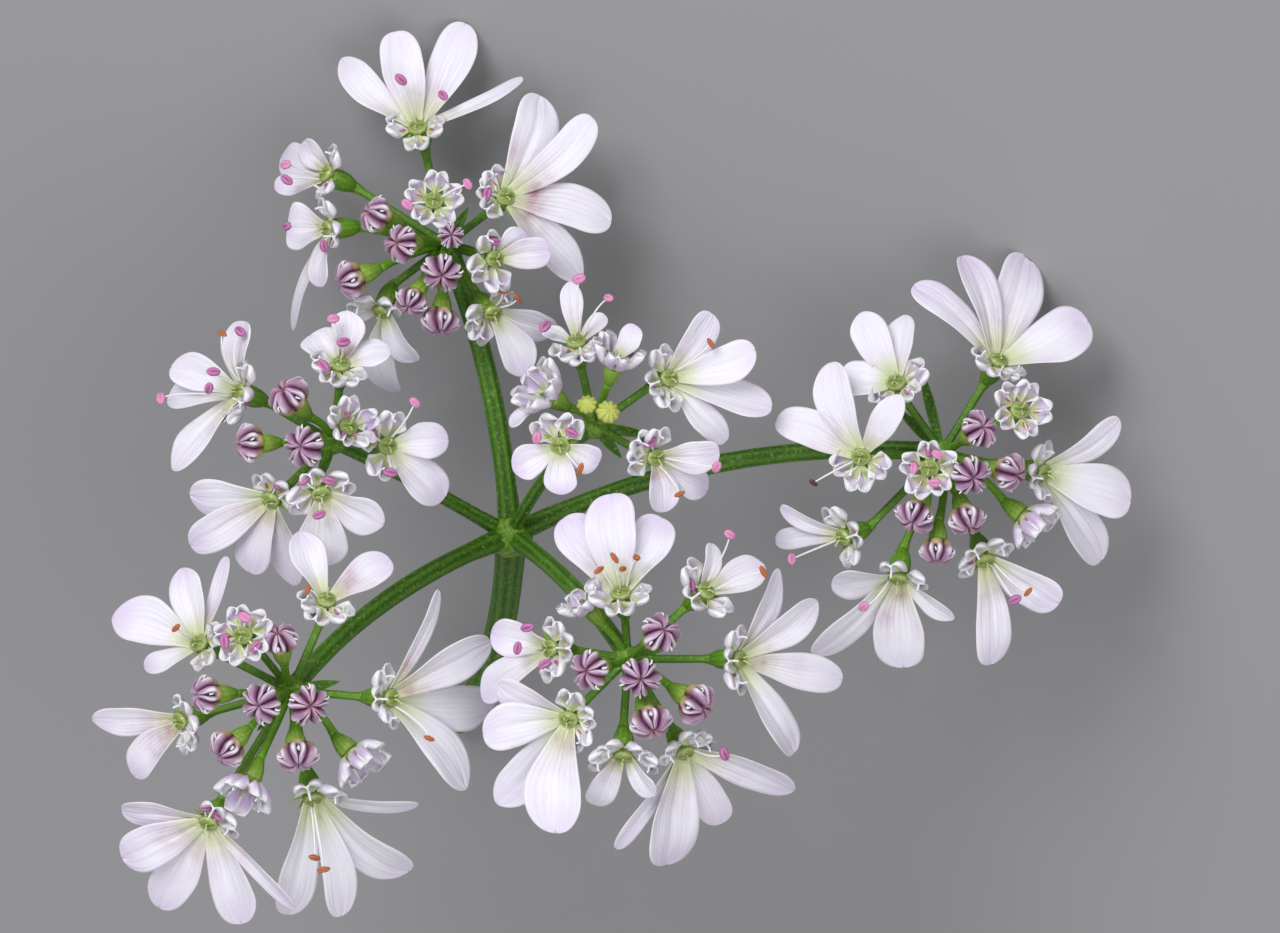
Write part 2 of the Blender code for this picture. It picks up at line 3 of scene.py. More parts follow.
import bpy
import numpy as np
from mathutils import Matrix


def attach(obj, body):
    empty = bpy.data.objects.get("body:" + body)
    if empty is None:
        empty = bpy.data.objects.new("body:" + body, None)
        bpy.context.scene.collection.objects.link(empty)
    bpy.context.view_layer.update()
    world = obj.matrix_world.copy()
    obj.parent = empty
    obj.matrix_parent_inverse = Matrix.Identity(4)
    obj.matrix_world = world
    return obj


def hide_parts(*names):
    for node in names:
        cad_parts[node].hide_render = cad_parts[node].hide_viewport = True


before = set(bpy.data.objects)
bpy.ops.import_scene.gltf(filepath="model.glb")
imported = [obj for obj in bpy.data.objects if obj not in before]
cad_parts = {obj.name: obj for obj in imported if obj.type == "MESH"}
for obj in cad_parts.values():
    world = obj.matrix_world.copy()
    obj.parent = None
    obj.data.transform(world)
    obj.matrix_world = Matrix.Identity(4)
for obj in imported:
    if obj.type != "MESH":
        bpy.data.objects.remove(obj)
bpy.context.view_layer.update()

# The head has its own frame, in millimetres: X right and Y up across its face, Z out of the face,
# with the knot of its rays at the origin. The table's upward direction lays it down.
head = {
    "up": (-0.2837, -0.4278, 0.8582),
    "stalkEnd": (-2.7, -8.9, -15.0),
    "stalkBow": (0.5, -0.9, -0.6),
    "stalkRadius": 0.65,
    "knotRadius": 1.2,
}

chance = np.random.default_rng(11)


def unit(vectors):  # each vector over its own length
    return vectors / np.maximum(np.linalg.norm(vectors, axis=-1, keepdims=True), 1e-9)


def crossAxes(direction, seed=(1.0, 0.0, 0.0)):
    # two unit vectors square to direction: seed less its share along direction, then their cross product
    first = np.array(seed) - direction * np.dot(direction, seed)
    if np.linalg.norm(first) < 0.2:
        first = np.array((0.0, 1.0, 0.0)) - direction * direction[1]
    first = unit(first)
    return first, np.cross(direction, first)


def smooth(values, low, high):  # 0 below low, 1 above high, 3t^2 - 2t^3 between
    share = np.clip((values - low) / (high - low), 0, 1)
    return share * share * (3 - 2 * share)


def hump(values, middle, width):  # a bell curve, e to the minus square of the distance in widths
    return np.exp(-(((values - middle) / width) ** 2))


def bearingOf(degrees):  # the unit vector at that bearing across the face
    turn = math.radians(degrees)
    return np.array((math.cos(turn), math.sin(turn), 0.0))


def bowedPath(start, end, bow, count):
    # a parabola from start to end whose middle lies off the straight line by bow
    along = np.linspace(0, 1, count)[:, None]
    return np.array(start) * (1 - along) + np.array(end) * along + np.array(bow) * 4 * along * (1 - along)


def cornersOf(node):  # a frame node's different corners, in millimetres
    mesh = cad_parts[node].data
    places = np.empty(len(mesh.vertices) * 3, np.float32)
    mesh.vertices.foreach_get("co", places)
    return np.unique((places.reshape(-1, 3) * 1000).round(4), axis=0)


upward = unit(np.array(head["up"]))
rightward, awayward = crossAxes(upward)
turn = np.stack((rightward, awayward, upward))  # from the head's frame to the table's
stalkPath = bowedPath(head["stalkEnd"], (0, 0, 0), head["stalkBow"], 7)
stalkCorners = cornersOf("stalk")
cutDistance = stalkCorners @ (turn @ unit(stalkPath[1] - stalkPath[0]))
cutMiddle = stalkCorners[cutDistance < cutDistance.min() + 0.5].mean(axis=0)
headPlace = cutMiddle - turn @ stalkPath[0]  # the stalk's cut end fixes where the head lies


def onTable(points):  # from the head's frame in millimetres to metres on the table
    return (points @ turn.T + headPlace) / 1000


def inHead(places):  # and back, from millimetres on the table
    return (places - headPlace) @ turn


print("frame read, head at", headPlace.round(3))


# Materials ---------------------------------------------------------------------------------------

class Wire:  # a node's output that Python's own operators can add, multiply and raise
    def __init__(self, finish, socket):
        self.finish = finish
        self.socket = socket

    def math(self, operation, first, second=None):
        sockets = {0: first} if second is None else {0: first, 1: second}
        return self.finish.make("ShaderNodeMath", {"operation": operation}, sockets, "Value")

    def __add__(self, other):
        return self.math("ADD", self, other)

    def __radd__(self, other):
        return self.math("ADD", other, self)

    def __sub__(self, other):
        return self.math("SUBTRACT", self, other)

    def __rsub__(self, other):
        return self.math("SUBTRACT", other, self)

    def __mul__(self, other):
        return self.math("MULTIPLY", self, other)

    def __rmul__(self, other):
        return self.math("MULTIPLY", other, self)

    def __pow__(self, other):
        return self.math("POWER", self, other)

    def sine(self):
        return self.math("SINE", self)


class Finish:  # one material and the nodes that drive its shader
    def __init__(self, name, constants):
        self.material = bpy.data.materials.new(name)
        self.material.use_nodes = True
        self.tree = self.material.node_tree
        self.shader = self.tree.nodes["Principled BSDF"]
        for socket, value in constants.items():
            self.shader.inputs[socket].default_value = value

    def feed(self, socket, value):
        if isinstance(value, Wire):
            self.tree.links.new(value.socket, socket)
        elif isinstance(value, tuple) and len(value) == 3 and socket.type == "RGBA":
            socket.default_value = (*value, 1.0)
        else:
            socket.default_value = value

    def make(self, kind, settings, sockets, output):  # settings first, then the sockets' values or links
        node = self.tree.nodes.new(kind)
        for key, value in settings.items():
            if key == "stops":
                ramp = node.color_ramp
                while len(ramp.elements) < len(value):
                    ramp.elements.new(0.5)
                for element, (place, shade) in zip(ramp.elements, value):
                    element.position = place
                    element.color = (*shade, 1.0)
            else:
                setattr(node, key, value)
        for key, value in sockets.items():
            self.feed(node.inputs[key], value)
        return Wire(self, node.outputs[output])

    def attribute(self, name):  # three numbers of a point attribute, and its fourth
        node = self.tree.nodes.new("ShaderNodeAttribute")
        node.attribute_name = name
        split = self.tree.nodes.new("ShaderNodeSeparateXYZ")
        self.tree.links.new(node.outputs["Vector"], split.inputs[0])
        return [Wire(self, s) for s in (*split.outputs, node.outputs["Alpha"])]

    def noise(self, scale, detail=3.0, stretch=(1, 1, 1)):
        spot = self.make("ShaderNodeTexCoord", {}, {}, "Object")
        if stretch != (1, 1, 1):
            spot = self.make("ShaderNodeMapping", {}, {"Vector": spot, "Scale": stretch}, "Vector")
        return self.make("ShaderNodeTexNoise", {}, {"Vector": spot, "Scale": scale, "Detail": detail}, "Fac")

    def streaks(self, stretch):  # noise drawn out along the piece's own flow
        node = self.tree.nodes.new("ShaderNodeAttribute")
        node.attribute_name = "flow"
        spot = Wire(self, node.outputs["Vector"])
        spot = self.make("ShaderNodeMapping", {}, {"Vector": spot, "Scale": stretch}, "Vector")
        return self.make("ShaderNodeTexNoise", {}, {"Vector": spot, "Scale": 1.0, "Detail": 4.0}, "Fac")

    def blend(self, share, first, second):  # colours, by share of the second
        settings = {"data_type": "RGBA", "clamp_factor": True}
        return self.make("ShaderNodeMix", settings, {0: share, 6: first, 7: second}, 2)

    def finishWith(self, colour, roughness, height=None, strength=0.3, distance=0.00005):
        self.feed(self.shader.inputs["Base Color"], colour)
        self.feed(self.shader.inputs["Roughness"], roughness)
        if height is not None:
            sockets = {"Strength": strength, "Distance": distance, "Height": height}
            bump = self.make("ShaderNodeBump", {}, sockets, "Normal")
            self.feed(self.shader.inputs["Normal"], bump)
        return self.material


petalLook = {
    "white": (0.78, 0.77, 0.84),
    "lilac": (0.58, 0.44, 0.72),
    "base": (0.52, 0.61, 0.20),
    "streak": (0.34, 0.16, 0.24),
    "shade": (0.64, 0.62, 0.72),
    "veins": 26.0,
}


def petalFinish():
    # mask: lilac tinge, green base, streaks, thin edge; flow: along, across, a number of its own
    finish = Finish("petalSkin", {
        "Subsurface Weight": 0.3, "Subsurface Radius": (1.0, 0.85, 0.95), "Subsurface Scale": 0.00015,
        "Specular IOR Level": 0.35,
    })
    tinge, base, streaks, edge = finish.attribute("mask")
    along, across, own, _ = finish.attribute("flow")
    cloud = finish.noise(700.0)
    grain = finish.noise(9000.0, 2.0)
    fold = finish.streaks((2.0, 7.0, 60.0))
    vein = ((across * petalLook["veins"] + own * 6.0 + cloud * 3.0).sine() * 0.5 + 0.5) ** 5.0
    colour = finish.blend(tinge * (0.2 + cloud * 1.1), petalLook["white"], petalLook["lilac"])
    colour = finish.blend((fold - 0.45) * 1.6, colour, petalLook["shade"])
    colour = finish.blend(base * 0.75, colour, petalLook["base"])
    colour = finish.blend(streaks * (vein * 0.35 + (cloud ** 4.0) * 3.5) * own, colour, petalLook["streak"])
    colour = finish.blend(vein * cloud * 0.16, colour, petalLook["lilac"])
    colour = finish.blend(edge * 0.5, colour, (0.90, 0.88, 0.93))
    rough = 0.42 + cloud * 0.18 + grain * 0.08
    return finish.finishWith(colour, rough, grain * 0.4 + fold * 2.5 - vein * 0.3, 0.45, 0.00003)


budLook = {
    "skin": (0.33, 0.15, 0.34),
    "pale": (0.66, 0.50, 0.66),
    # slit: painted shadow, for the slits down each petal and the dimple at the top
    "slit": (0.045, 0.004, 0.045),
    # painted shade for the creases between the petals
    "creaseShade": (0.10, 0.012, 0.06),
    "base": (0.45, 0.50, 0.10),
    "blush": (0.58, 0.22, 0.16),
    # rim: the white of the petals' tucked points, and painted highlight along the slits' lips and on each lobe's crest
    "rim": (0.88, 0.84, 0.88),
}


def budFinish():
    # mask: slit, painted shadow down the slits and in the dimple at the top; crease, painted shade between the petals;
    # base; rim, the white of the petals' tucked points, with painted highlight along the slits' lips and on each lobe's
    # crest; flow: nearness to the bud's middle, and to its petals' ends
    finish = Finish("budSkin", {
        "Subsurface Weight": 0.08, "Subsurface Radius": (1.0, 0.7, 0.8), "Subsurface Scale": 0.0002,
        "Coat Weight": 0.2, "Coat Roughness": 0.25,
    })
    slit, creaseShade, base, rim = finish.attribute("mask")
    middle, end, _, _ = finish.attribute("flow")
    cloud = finish.noise(1500.0)
    grain = finish.noise(12000.0, 2.0)
    colour = finish.blend(cloud * 1.7 - 0.45, budLook["skin"], budLook["pale"])
    colour = finish.blend(middle * 0.55, colour, budLook["blush"])
    colour = finish.blend(end * 0.7, colour, budLook["pale"])
    colour = finish.blend(base, colour, budLook["base"])
    colour = finish.blend(base * (1.0 - base) * 3.0 * cloud, colour, budLook["blush"])
    # painted shade in the creases between the petals
    colour = finish.blend(creaseShade, colour, budLook["creaseShade"])
    # painted highlight on the slits' lips and the lobes' crests, with the curls' own white
    colour = finish.blend(rim, colour, budLook["rim"])
    # painted shadow down the slits and in the top's dimple
    colour = finish.blend(slit, colour, budLook["slit"])
    return finish.finishWith(colour, 0.38 + grain * 0.2, grain, 0.25, 0.00002)


stemLook = {
    "deep": (0.020, 0.085, 0.002),
    "mid": (0.060, 0.195, 0.006),
    "light": (0.170, 0.380, 0.016),
    "fleck": (0.30, 0.46, 0.10),
}


def stemFinish():
    # mask: rib, lightness, yellowness
    finish = Finish("stemSkin", {
        "Subsurface Weight": 0.05, "Subsurface Radius": (0.5, 1.0, 0.2), "Subsurface Scale": 0.0002,
        "Specular IOR Level": 0.32,
    })
    rib, light, yellow, _ = finish.attribute("mask")
    cloud = finish.noise(500.0)
    fleck = finish.noise(6500.0, 2.0) ** 6.0
    colour = finish.blend(rib * 0.8 + cloud * 0.4 - 0.2, stemLook["deep"], stemLook["mid"])
    colour = finish.blend(light, colour, stemLook["light"])
    colour = finish.blend(fleck * 4.0, colour, stemLook["fleck"])
    colour = finish.blend(yellow, colour, (0.55, 0.60, 0.16))
    return finish.finishWith(colour, 0.34 + cloud * 0.25, fleck * 2.0 + cloud, 0.3, 0.00003)


def discFinish():
    # mask: painted shade in the groove and the pits, paleness
    finish = Finish("discSkin", {"Coat Weight": 0.4, "Coat Roughness": 0.15})
    hollowShade, pale, _, _ = finish.attribute("mask")
    grain = finish.noise(9000.0, 3.0)
    colour = finish.blend(grain, (0.13, 0.21, 0.025), (0.28, 0.36, 0.06))
    # painted shade in the groove between the halves and in the pits
    colour = finish.blend(hollowShade, colour, (0.06, 0.07, 0.012))
    colour = finish.blend(pale, colour, (0.55, 0.62, 0.30))
    return finish.finishWith(colour, 0.3 + grain * 0.2, grain, 0.4, 0.00003)


antherLook = {
    "magenta": (0.40, 0.09, 0.30),
    # edge: painted shade, for the furrow between the sacs and the outline
    "edge": (0.09, 0.008, 0.07),
    "pollen": (0.74, 0.30, 0.52),
    "rust": (0.50, 0.15, 0.045),
    "spent": (0.10, 0.025, 0.02),
}


def antherFinish():
    # mask: groove, painted shade along the furrow between the sacs and round the outline; pollen, rust, spent
    finish = Finish("antherSkin", {"Specular IOR Level": 0.4})
    groove, pollen, rust, spent = finish.attribute("mask")
    grain = finish.noise(16000.0, 2.0)
    colour = finish.blend(grain * 0.7, antherLook["magenta"], (0.62, 0.26, 0.52))
    colour = finish.blend(pollen * (0.3 + grain), colour, antherLook["pollen"])
    colour = finish.blend(rust, colour, antherLook["rust"])
    colour = finish.blend(spent, colour, antherLook["spent"])
    # painted shade along the furrow and the outline
    colour = finish.blend(groove * 0.85, colour, antherLook["edge"])
    return finish.finishWith(colour, 0.45 + grain * 0.2, grain, 0.7, 0.00004)


def threadFinish():
    finish = Finish("threadSkin", {"Subsurface Weight": 0.4, "Subsurface Scale": 0.0002})
    cloud = finish.noise(2000.0)
    colour = finish.blend(cloud, (0.88, 0.87, 0.84), (0.80, 0.76, 0.82))
    return finish.finishWith(colour, 0.35 + cloud * 0.2)


finishes = [petalFinish(), stemFinish(), discFinish(), antherFinish(), threadFinish(), budFinish()]
petalSkin, stemSkin, discSkin, antherSkin, threadSkin, budSkin = range(len(finishes))
print("finishes made")


# Pieces ------------------------------------------------------------------------------------------

class Piece:  # gathers closed grids of points into one mesh
    def __init__(self, name):
        self.name = name
        self.parts = []

    def add(self, grid, finish, mask=(0, 0, 0, 0), flow=(0, 0, 0)):
        # grid is rows x columns of points, closed round its columns, with a fan closing each end
        rows, columns, _ = grid.shape
        count = rows * columns
        points = np.vstack((grid.reshape(-1, 3), grid[0].mean(axis=0), grid[-1].mean(axis=0)))
        number = np.arange(count).reshape(rows, columns)
        after = np.roll(number, -1, axis=1)
        quads = np.stack((number[:-1], after[:-1], after[1:], number[1:]), axis=-1).reshape(-1, 4)
        first = np.stack((after[0], number[0], np.full(columns, count)), axis=-1)
        last = np.stack((number[-1], after[-1], np.full(columns, count + 1)), axis=-1)
        triangles = np.vstack((first, last))
        corners = np.vstack((quads[:, :3], quads[:, [0, 2, 3]], triangles))
        a, b, c = (points[corners[:, k]] - points.mean(axis=0) for k in range(3))
        if (np.cross(a, b) * c).sum() < 0:  # a negative volume is inside out
            quads = quads[:, ::-1]
            triangles = triangles[:, ::-1]
        masks = np.broadcast_to(np.asarray(mask, float), (rows, columns, 4)).reshape(-1, 4)
        flows = np.broadcast_to(np.asarray(flow, float), (rows, columns, 3)).reshape(-1, 3)
        masks = np.vstack((masks, masks[:columns].mean(axis=0), masks[-columns:].mean(axis=0)))
        flows = np.vstack((flows, flows[:columns].mean(axis=0), flows[-columns:].mean(axis=0)))
        self.parts.append((points, quads, triangles, masks, flows, finish))

    def build(self, node):
        starts = np.cumsum([0] + [len(part[0]) for part in self.parts])
        points = onTable(np.vstack([part[0] for part in self.parts]))
        points[:, 2] = np.maximum(points[:, 2], 0.00001)  # petals that rest on the table go no lower
        quads = np.vstack([part[1] + start for part, start in zip(self.parts, starts)])
        triangles = np.vstack([part[2] + start for part, start in zip(self.parts, starts)])
        used = sorted({part[5] for part in self.parts})
        quadFinish = np.concatenate([np.full(len(part[1]), used.index(part[5])) for part in self.parts])
        triangleFinish = np.concatenate([np.full(len(part[2]), used.index(part[5])) for part in self.parts])
        mesh = bpy.data.meshes.new(self.name)
        mesh.vertices.add(len(points))
        mesh.vertices.foreach_set("co", points.astype(np.float32).ravel())
        corners = np.concatenate((quads.ravel(), triangles.ravel()))
        mesh.loops.add(len(corners))
        mesh.loops.foreach_set("vertex_index", corners.astype(np.int32))
        begin = np.concatenate((np.arange(len(quads)) * 4, len(quads) * 4 + np.arange(len(triangles)) * 3))
        mesh.polygons.add(len(begin))
        mesh.polygons.foreach_set("loop_start", begin.astype(np.int32))
        for skin in used:
            mesh.materials.append(finishes[skin])
        mesh.polygons.foreach_set("material_index", np.concatenate((quadFinish, triangleFinish)).astype(np.int32))
        mesh.polygons.foreach_set("use_smooth", np.ones(len(begin), bool))
        mesh.update(calc_edges=True)
        mask = mesh.attributes.new("mask", "FLOAT_COLOR", "POINT")
        mask.data.foreach_set("color", np.vstack([part[3] for part in self.parts]).astype(np.float32).ravel())
        flow = mesh.attributes.new("flow", "FLOAT_VECTOR", "POINT")
        flow.data.foreach_set("vector", np.vstack([part[4] for part in self.parts]).astype(np.float32).ravel())
        made = bpy.data.objects.new(self.name, mesh)
        bpy.context.scene.collection.objects.link(made)
        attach(made, "root")
        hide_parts(node)
        return made


def sweep(path, radii, columns):
    # rings of the given radius square to a path: centre + r (cos a first + sin a second)
    heading = unit(np.gradient(path, axis=0))
    overall = unit(path[-1] - path[0])
    seed = crossAxes(overall)[0]
    first = unit(seed - heading * (heading @ seed)[:, None])
    second = np.cross(heading, first)
    angles = np.arange(columns) * 2 * math.pi / columns
    radii = np.broadcast_to(np.asarray(radii, float).reshape(len(path), -1), (len(path), columns))
    rim = np.cos(angles)[:, None] * first[:, None, :] + np.sin(angles)[:, None] * second[:, None, :]
    return path[:, None, :] + radii[:, :, None] * rim


def ribbed(path, radii, columns, ribs, depth):
    # a sweep whose radius rises by depth at each rib, r (1 + depth cos(ribs a)), and its rib mask
    angles = np.arange(columns) * 2 * math.pi / columns
    wave = np.cos(ribs * angles)
    grid = sweep(path, np.asarray(radii, float)[:, None] * (1 + depth * wave[None, :]), columns)
    return grid, np.broadcast_to((wave * 0.5 + 0.5)[None, :], (len(path), columns))


def stemMask(rib, light, yellow=0.0):
    mask = np.zeros((*rib.shape, 4))
    mask[..., 0] = rib
    mask[..., 1] = light
    mask[..., 2] = yellow
    return mask


def ball(centre, first, second, third, rows, columns):
    # an ellipsoid: centre + sin p (cos a first + sin a second) + cos p third
    polar = np.linspace(0.02, math.pi - 0.02, rows)[:, None, None]
    angles = (np.arange(columns) * 2 * math.pi / columns)[None, :, None]
    return centre + np.sin(polar) * (np.cos(angles) * first + np.sin(angles) * second) + np.cos(polar) * third


# The flowers -------------------------------------------------------------------------------------

# One entry for each umbellet: its knot, its ray's radius and how far the ray bows off a straight line.
rays = {
    "top": ((-2.9, 13.3, 2.0), 0.42, (0.5, 0.3, 0.4)),
    "left": ((-7.9, 4.3, 8.0), 0.3, (-0.5, 0.4, -0.4)),
    "centre": ((3.9, 5.0, 9.0), 0.28, (-0.2, 0.3, 0.2)),
    "right": ((19.6, 3.8, 6.0), 0.38, (-0.3, 1.4, 0.5)),
    "lower": ((5.4, -5.4, 12.0), 0.38, (0.3, 0.3, 0.4)),
    "lower_left": ((-9.6, -6.8, 12.0), 0.4, (-0.6, 0.6, 0.2)),
}

# Open flowers: place from the umbellet's knot, bearing and tilt of the way the flower faces, big petal
# lobes as bearing, reach and width, bearings of the small inner petals, and anthers as bearing, reach,
# rise and age: y young, p open with pollen, r rusty, s spent.
flowers = {
    "top": (
        ((-1.3, 5.3, 0.2), (108, 35), ((137, 5.0, 1.2), (103, 4.6, 1.6), (66, 5.3, 1.6), (25, 5.3, 0.8)),
         (187, 350, 270), ((109, 1.9, 1.3, "y"), (41, 1.7, 1.2, "y"))),
        ((2.7, 2.1, 2.0), (38, 20), ((70, 5.0, 1.8), (42, 5.4, 1.4), (-12, 5.0, 1.7), (-47, 5.1, 1.6)),
         (160, 215, 125), ((175, 0.9, 0.6, "y"),)),
        ((-5.4, 3.2, 0.2), (155, 60), ((126, 1.9, 1.2), (158, 2.5, 1.3), (190, 2.5, 1.0)),
         (20, 300), ((174, 1.3, 1.4, "p"), (198, 1.5, 1.0, "y"))),
        ((-5.3, 0.7, 1.2), (185, 60), ((180, 2.0, 1.7), (-100, 2.7, 1.3), (-112, 5.0, 0.8)),
         (60, 350), ((174, 1.35, 1.2, "y"), (-73, 0.8, 1.0, "y"))),
        ((-2.9, -3.0, 1.0), (250, 55), ((-60, 2.8, 1.3), (-85, 4.0, 1.2), (190, 1.6, 1.0)),
         (60, 130), ()),
        ((-0.5, 1.9, 3.4), (100, 10), (), (15, 85, 155, 230, 300),
         ((-169, 1.2, 0.5, "p"), (24, 1.7, 0.6, "p"))),
        ((2.2, -0.7, 3.2), (-15, 30), ((35, 1.9, 1.1), (8, 2.6, 1.2)), (120, 200, 280),
         ((100, 0.8, 0.5, "y"),)),
        ((2.1, -3.1, 2.2), (-50, 40), ((-18, 3.0, 1.3), (-62, 3.3, 1.3)), (80, 170, 240),
         ((75, 1.2, 0.9, "r"), (40, 1.3, 0.9, "r"))),
    ),
    "left": (
        ((-4.1, 2.2, 0.8), (160, 50), ((87, 3.2, 1.6), (160, 3.4, 1.3), (185, 3.6, 1.1), (-132, 4.7, 1.3)),
         (330, 40, 260), ((79, 2.6, 1.2, "y"), (93, 2.4, 1.6, "r"), (-171, 3.0, 1.4, "p"), (135, 1.1, 1.0, "y"),
                          (180, 0.9, 1.2, "y"))),
        ((0.4, 3.4, 1.2), (85, 35), ((134, 2.0, 1.5), (82, 2.5, 1.2), (20, 2.3, 1.2)), (250, 310, 190),
         ((100, 1.8, 1.0, "p"), (80, 0.8, 0.8, "y"), (200, 0.8, 0.8, "y"))),
        ((2.5, -0.2, 2.2), (0, 20), ((6, 2.8, 1.3), (-42, 3.5, 1.5)), (80, 160, 240),
         ((61, 2.2, 1.2, "p"), (-88, 1.2, 0.8, "y"), (150, 0.9, 0.7, "y"))),
        ((-2.7, -2.6, 1.0), (220, 35), ((178, 3.8, 1.5), (-150, 4.3, 1.4), (-108, 3.5, 1.5), (-75, 4.0, 1.4)),
         (30, 100), ((60, 0.9, 0.7, "y"),)),
        ((-0.4, -2.3, 2.9), (-80, 30), ((-27, 3.1, 1.4), (-88, 3.3, 1.8)), (40, 110, 190),
         ((135, 1.1, 0.7, "y"), (65, 0.8, 0.7, "y"), (-97, 0.8, 0.7, "y"))),
    ),
    "centre": (
        ((-0.8, 3.7, 1.4), (100, 40), ((96, 2.8, 1.0), (45, 1.8, 0.9), (160, 1.6, 0.9)), (240, 320, 280),
         ((86, 2.5, 1.0, "p"), (47, 2.2, 1.1, "p"), (163, 1.4, 0.9, "y"))),
        ((3.3, 2.1, 1.4), (20, 30), ((56, 3.5, 1.3), (18, 4.1, 1.4), (-16, 4.8, 1.4), (-46, 3.9, 1.1)),
         (120, 200, 250), ((42, 2.2, 1.0, "r"),)),
        ((-1.5, -0.9, 3.0), (190, 10), ((-151, 2.4, 1.2), (-88, 2.2, 1.2), (-25, 1.9, 1.1)), (60, 130),
         ((160, 1.05, 0.7, "p"), (47, 0.8, 0.7, "y"), (-48, 1.4, 0.6, "r"))),
        ((2.7, -1.4, 1.6), (-20, 30), ((4, 2.9, 1.2), (-32, 2.9, 1.2), (-82, 2.5, 1.2)), (100, 190, 145),
         ((-8, 2.5, 1.1, "p"), (-61, 1.8, 0.9, "r"), (120, 0.8, 0.7, "y"))),
    ),
    "right": (
        ((2.5, 4.1, 0.6), (60, 45), ((136, 5.2, 1.4), (107, 5.1, 1.5), (73, 5.2, 1.9), (25, 4.6, 2.0)),
         (200, 300, 250), ()),
        ((-2.1, 3.1, 1.4), (120, 30), ((116, 3.6, 1.4), (82, 3.2, 1.1), (175, 2.6, 1.5)), (240, 320, 20), ()),
        ((-3.7, -0.2, 2.2), (180, 10), ((109, 4.5, 1.4), (155, 4.2, 1.4), (58, 3.3, 1.1)), (200, 270, 335),
         ((-151, 2.4, 0.8, "s"),)),
        ((-4.4, -3.8, 0.4), (200, 50), ((155, 3.2, 0.8), (184, 3.2, 1.0)), (20, 300, 90), ((-157, 2.2, 1.0, "p"),)),
        ((-2.0, -5.6, 1.0), (-100, 55), ((182, 3.0, 1.6), (-137, 5.1, 1.4), (-86, 4.2, 1.9), (-38, 3.2, 1.0)),
         (90, 20), ((-152, 1.7, 1.2, "p"),)),
        ((1.9, -4.8, 1.0), (-70, 45), ((-85, 4.9, 1.4), (-30, 3.9, 1.6)), (60, 180, 120),
         ((-32, 2.1, 1.0, "r"), (-50, 1.8, 1.2, "y"))),
        ((4.5, -0.9, 0.6), (-10, 50), ((34, 4.3, 1.1), (-17, 4.3, 1.9), (-55, 4.9, 1.6)), (120, 230, 180), ()),
        ((3.4, 1.9, 2.4), (30, 15), (), (0, 72, 144, 216, 288), ()),
        ((-0.7, -0.7, 3.9), (180, 5), (), (20, 92, 164, 236, 308),
         ((60, 0.7, 0.5, "p"), (180, 0.7, 0.5, "p"), (290, 0.7, 0.5, "p"))),
    ),
    "lower": (
        ((-0.3, 2.9, 1.8), (100, 40), ((128, 4.2, 1.7), (96, 4.5, 1.9), (62, 3.9, 1.6)), (200, 340, 270),
         ((100, 1.3, 1.0, "r"), (60, 1.5, 1.0, "r"), (140, 1.2, 0.9, "r"), (80, 0.8, 1.0, "r"))),
        ((-3.4, 0.5, 1.6), (175, 40), ((166, 2.8, 1.3), (-144, 3.9, 1.3)), (60, 300, 0),
         ((130, 1.2, 0.8, "y"), (180, 1.2, 0.8, "y"), (-90, 0.7, 0.8, "y"))),
        ((-2.6, -2.6, 2.0), (225, 25), ((155, 3.5, 1.3), (-170, 3.9, 1.6), (-130, 5.0, 1.6), (-97, 5.1, 2.0)),
         (10, 80, 310), ()),
        ((3.4, 3.0, 1.4), (40, 40), ((24, 3.0, 1.3), (80, 2.2, 1.0)), (150, 300, 220),
         ((73, 2.3, 1.6, "p"), (16, 2.4, 1.1, "r"), (170, 0.8, 0.7, "y"))),
        ((4.9, 0.0, 0.8), (0, 50), ((66, 4.4, 1.1), (35, 4.5, 1.2), (-12, 4.8, 1.3), (-57, 5.0, 1.5)),
         (180, 130, 240), ()),
        ((2.5, -4.1, 0.8), (-60, 50), ((-125, 5.3, 1.0), (-97, 5.3, 2.0), (-62, 3.7, 1.3), (-21, 5.3, 1.4)),
         (90, 150, 40), ((10, 1.6, 1.0, "y"),)),
        ((-0.2, -4.2, 1.6), (-90, 50), ((-119, 2.7, 1.1), (-51, 2.3, 1.1)), (60, 120, 0, 180), ()),
    ),
    "lower_left": (
        ((-4.0, 2.1, 1.2), (150, 35), ((164, 4.2, 1.7), (105, 3.5, 1.4), (74, 4.0, 0.8), (-158, 2.8, 1.0)),
         (300, 10), ((144, 1.0, 0.8, "r"),)),
        ((-2.0, 2.5, 3.2), (140, 10), (), (30, 102, 174, 246, 318),
         ((80, 0.8, 0.5, "p"), (200, 0.8, 0.5, "y"), (320, 0.8, 0.5, "y"))),
        ((-4.8, -1.3, 1.2), (195, 50), ((180, 4.1, 1.1), (-132, 3.5, 1.3)), (50, 300, 350), ()),
        ((1.6, 4.0, 1.2), (75, 35), ((112, 3.3, 1.3), (34, 3.4, 1.3)), (200, 300, 250), ((160, 0.9, 0.7, "r"),)),
        ((4.4, -0.3, 1.0), (0, 50), ((64, 5.3, 0.9), (29, 5.0, 1.4), (-4, 4.7, 1.6), (-50, 5.4, 1.6)),
         (180, 130, 230), ((-54, 2.2, 1.2, "r"),)),
        ((-3.6, -5.8, 1.0), (240, 40),
         ((174, 4.0, 1.2), (-156, 4.4, 1.7), (-121, 4.6, 1.6), (-73, 4.8, 1.6), (-46, 5.4, 0.9)),
         (60, 10), ((40, 0.8, 0.8, "y"), (90, 0.9, 0.8, "y"))),
        ((1.0, -4.7, 1.0), (-75, 55), ((-103, 5.6, 1.4), (-78, 5.6, 1.2), (-41, 5.6, 1.6), (-6, 4.7, 1.0)),
         (110, 60), ((-91, 2.1, 1.3, "r"), (-82, 2.7, 1.2, "r"))),
    ),
}

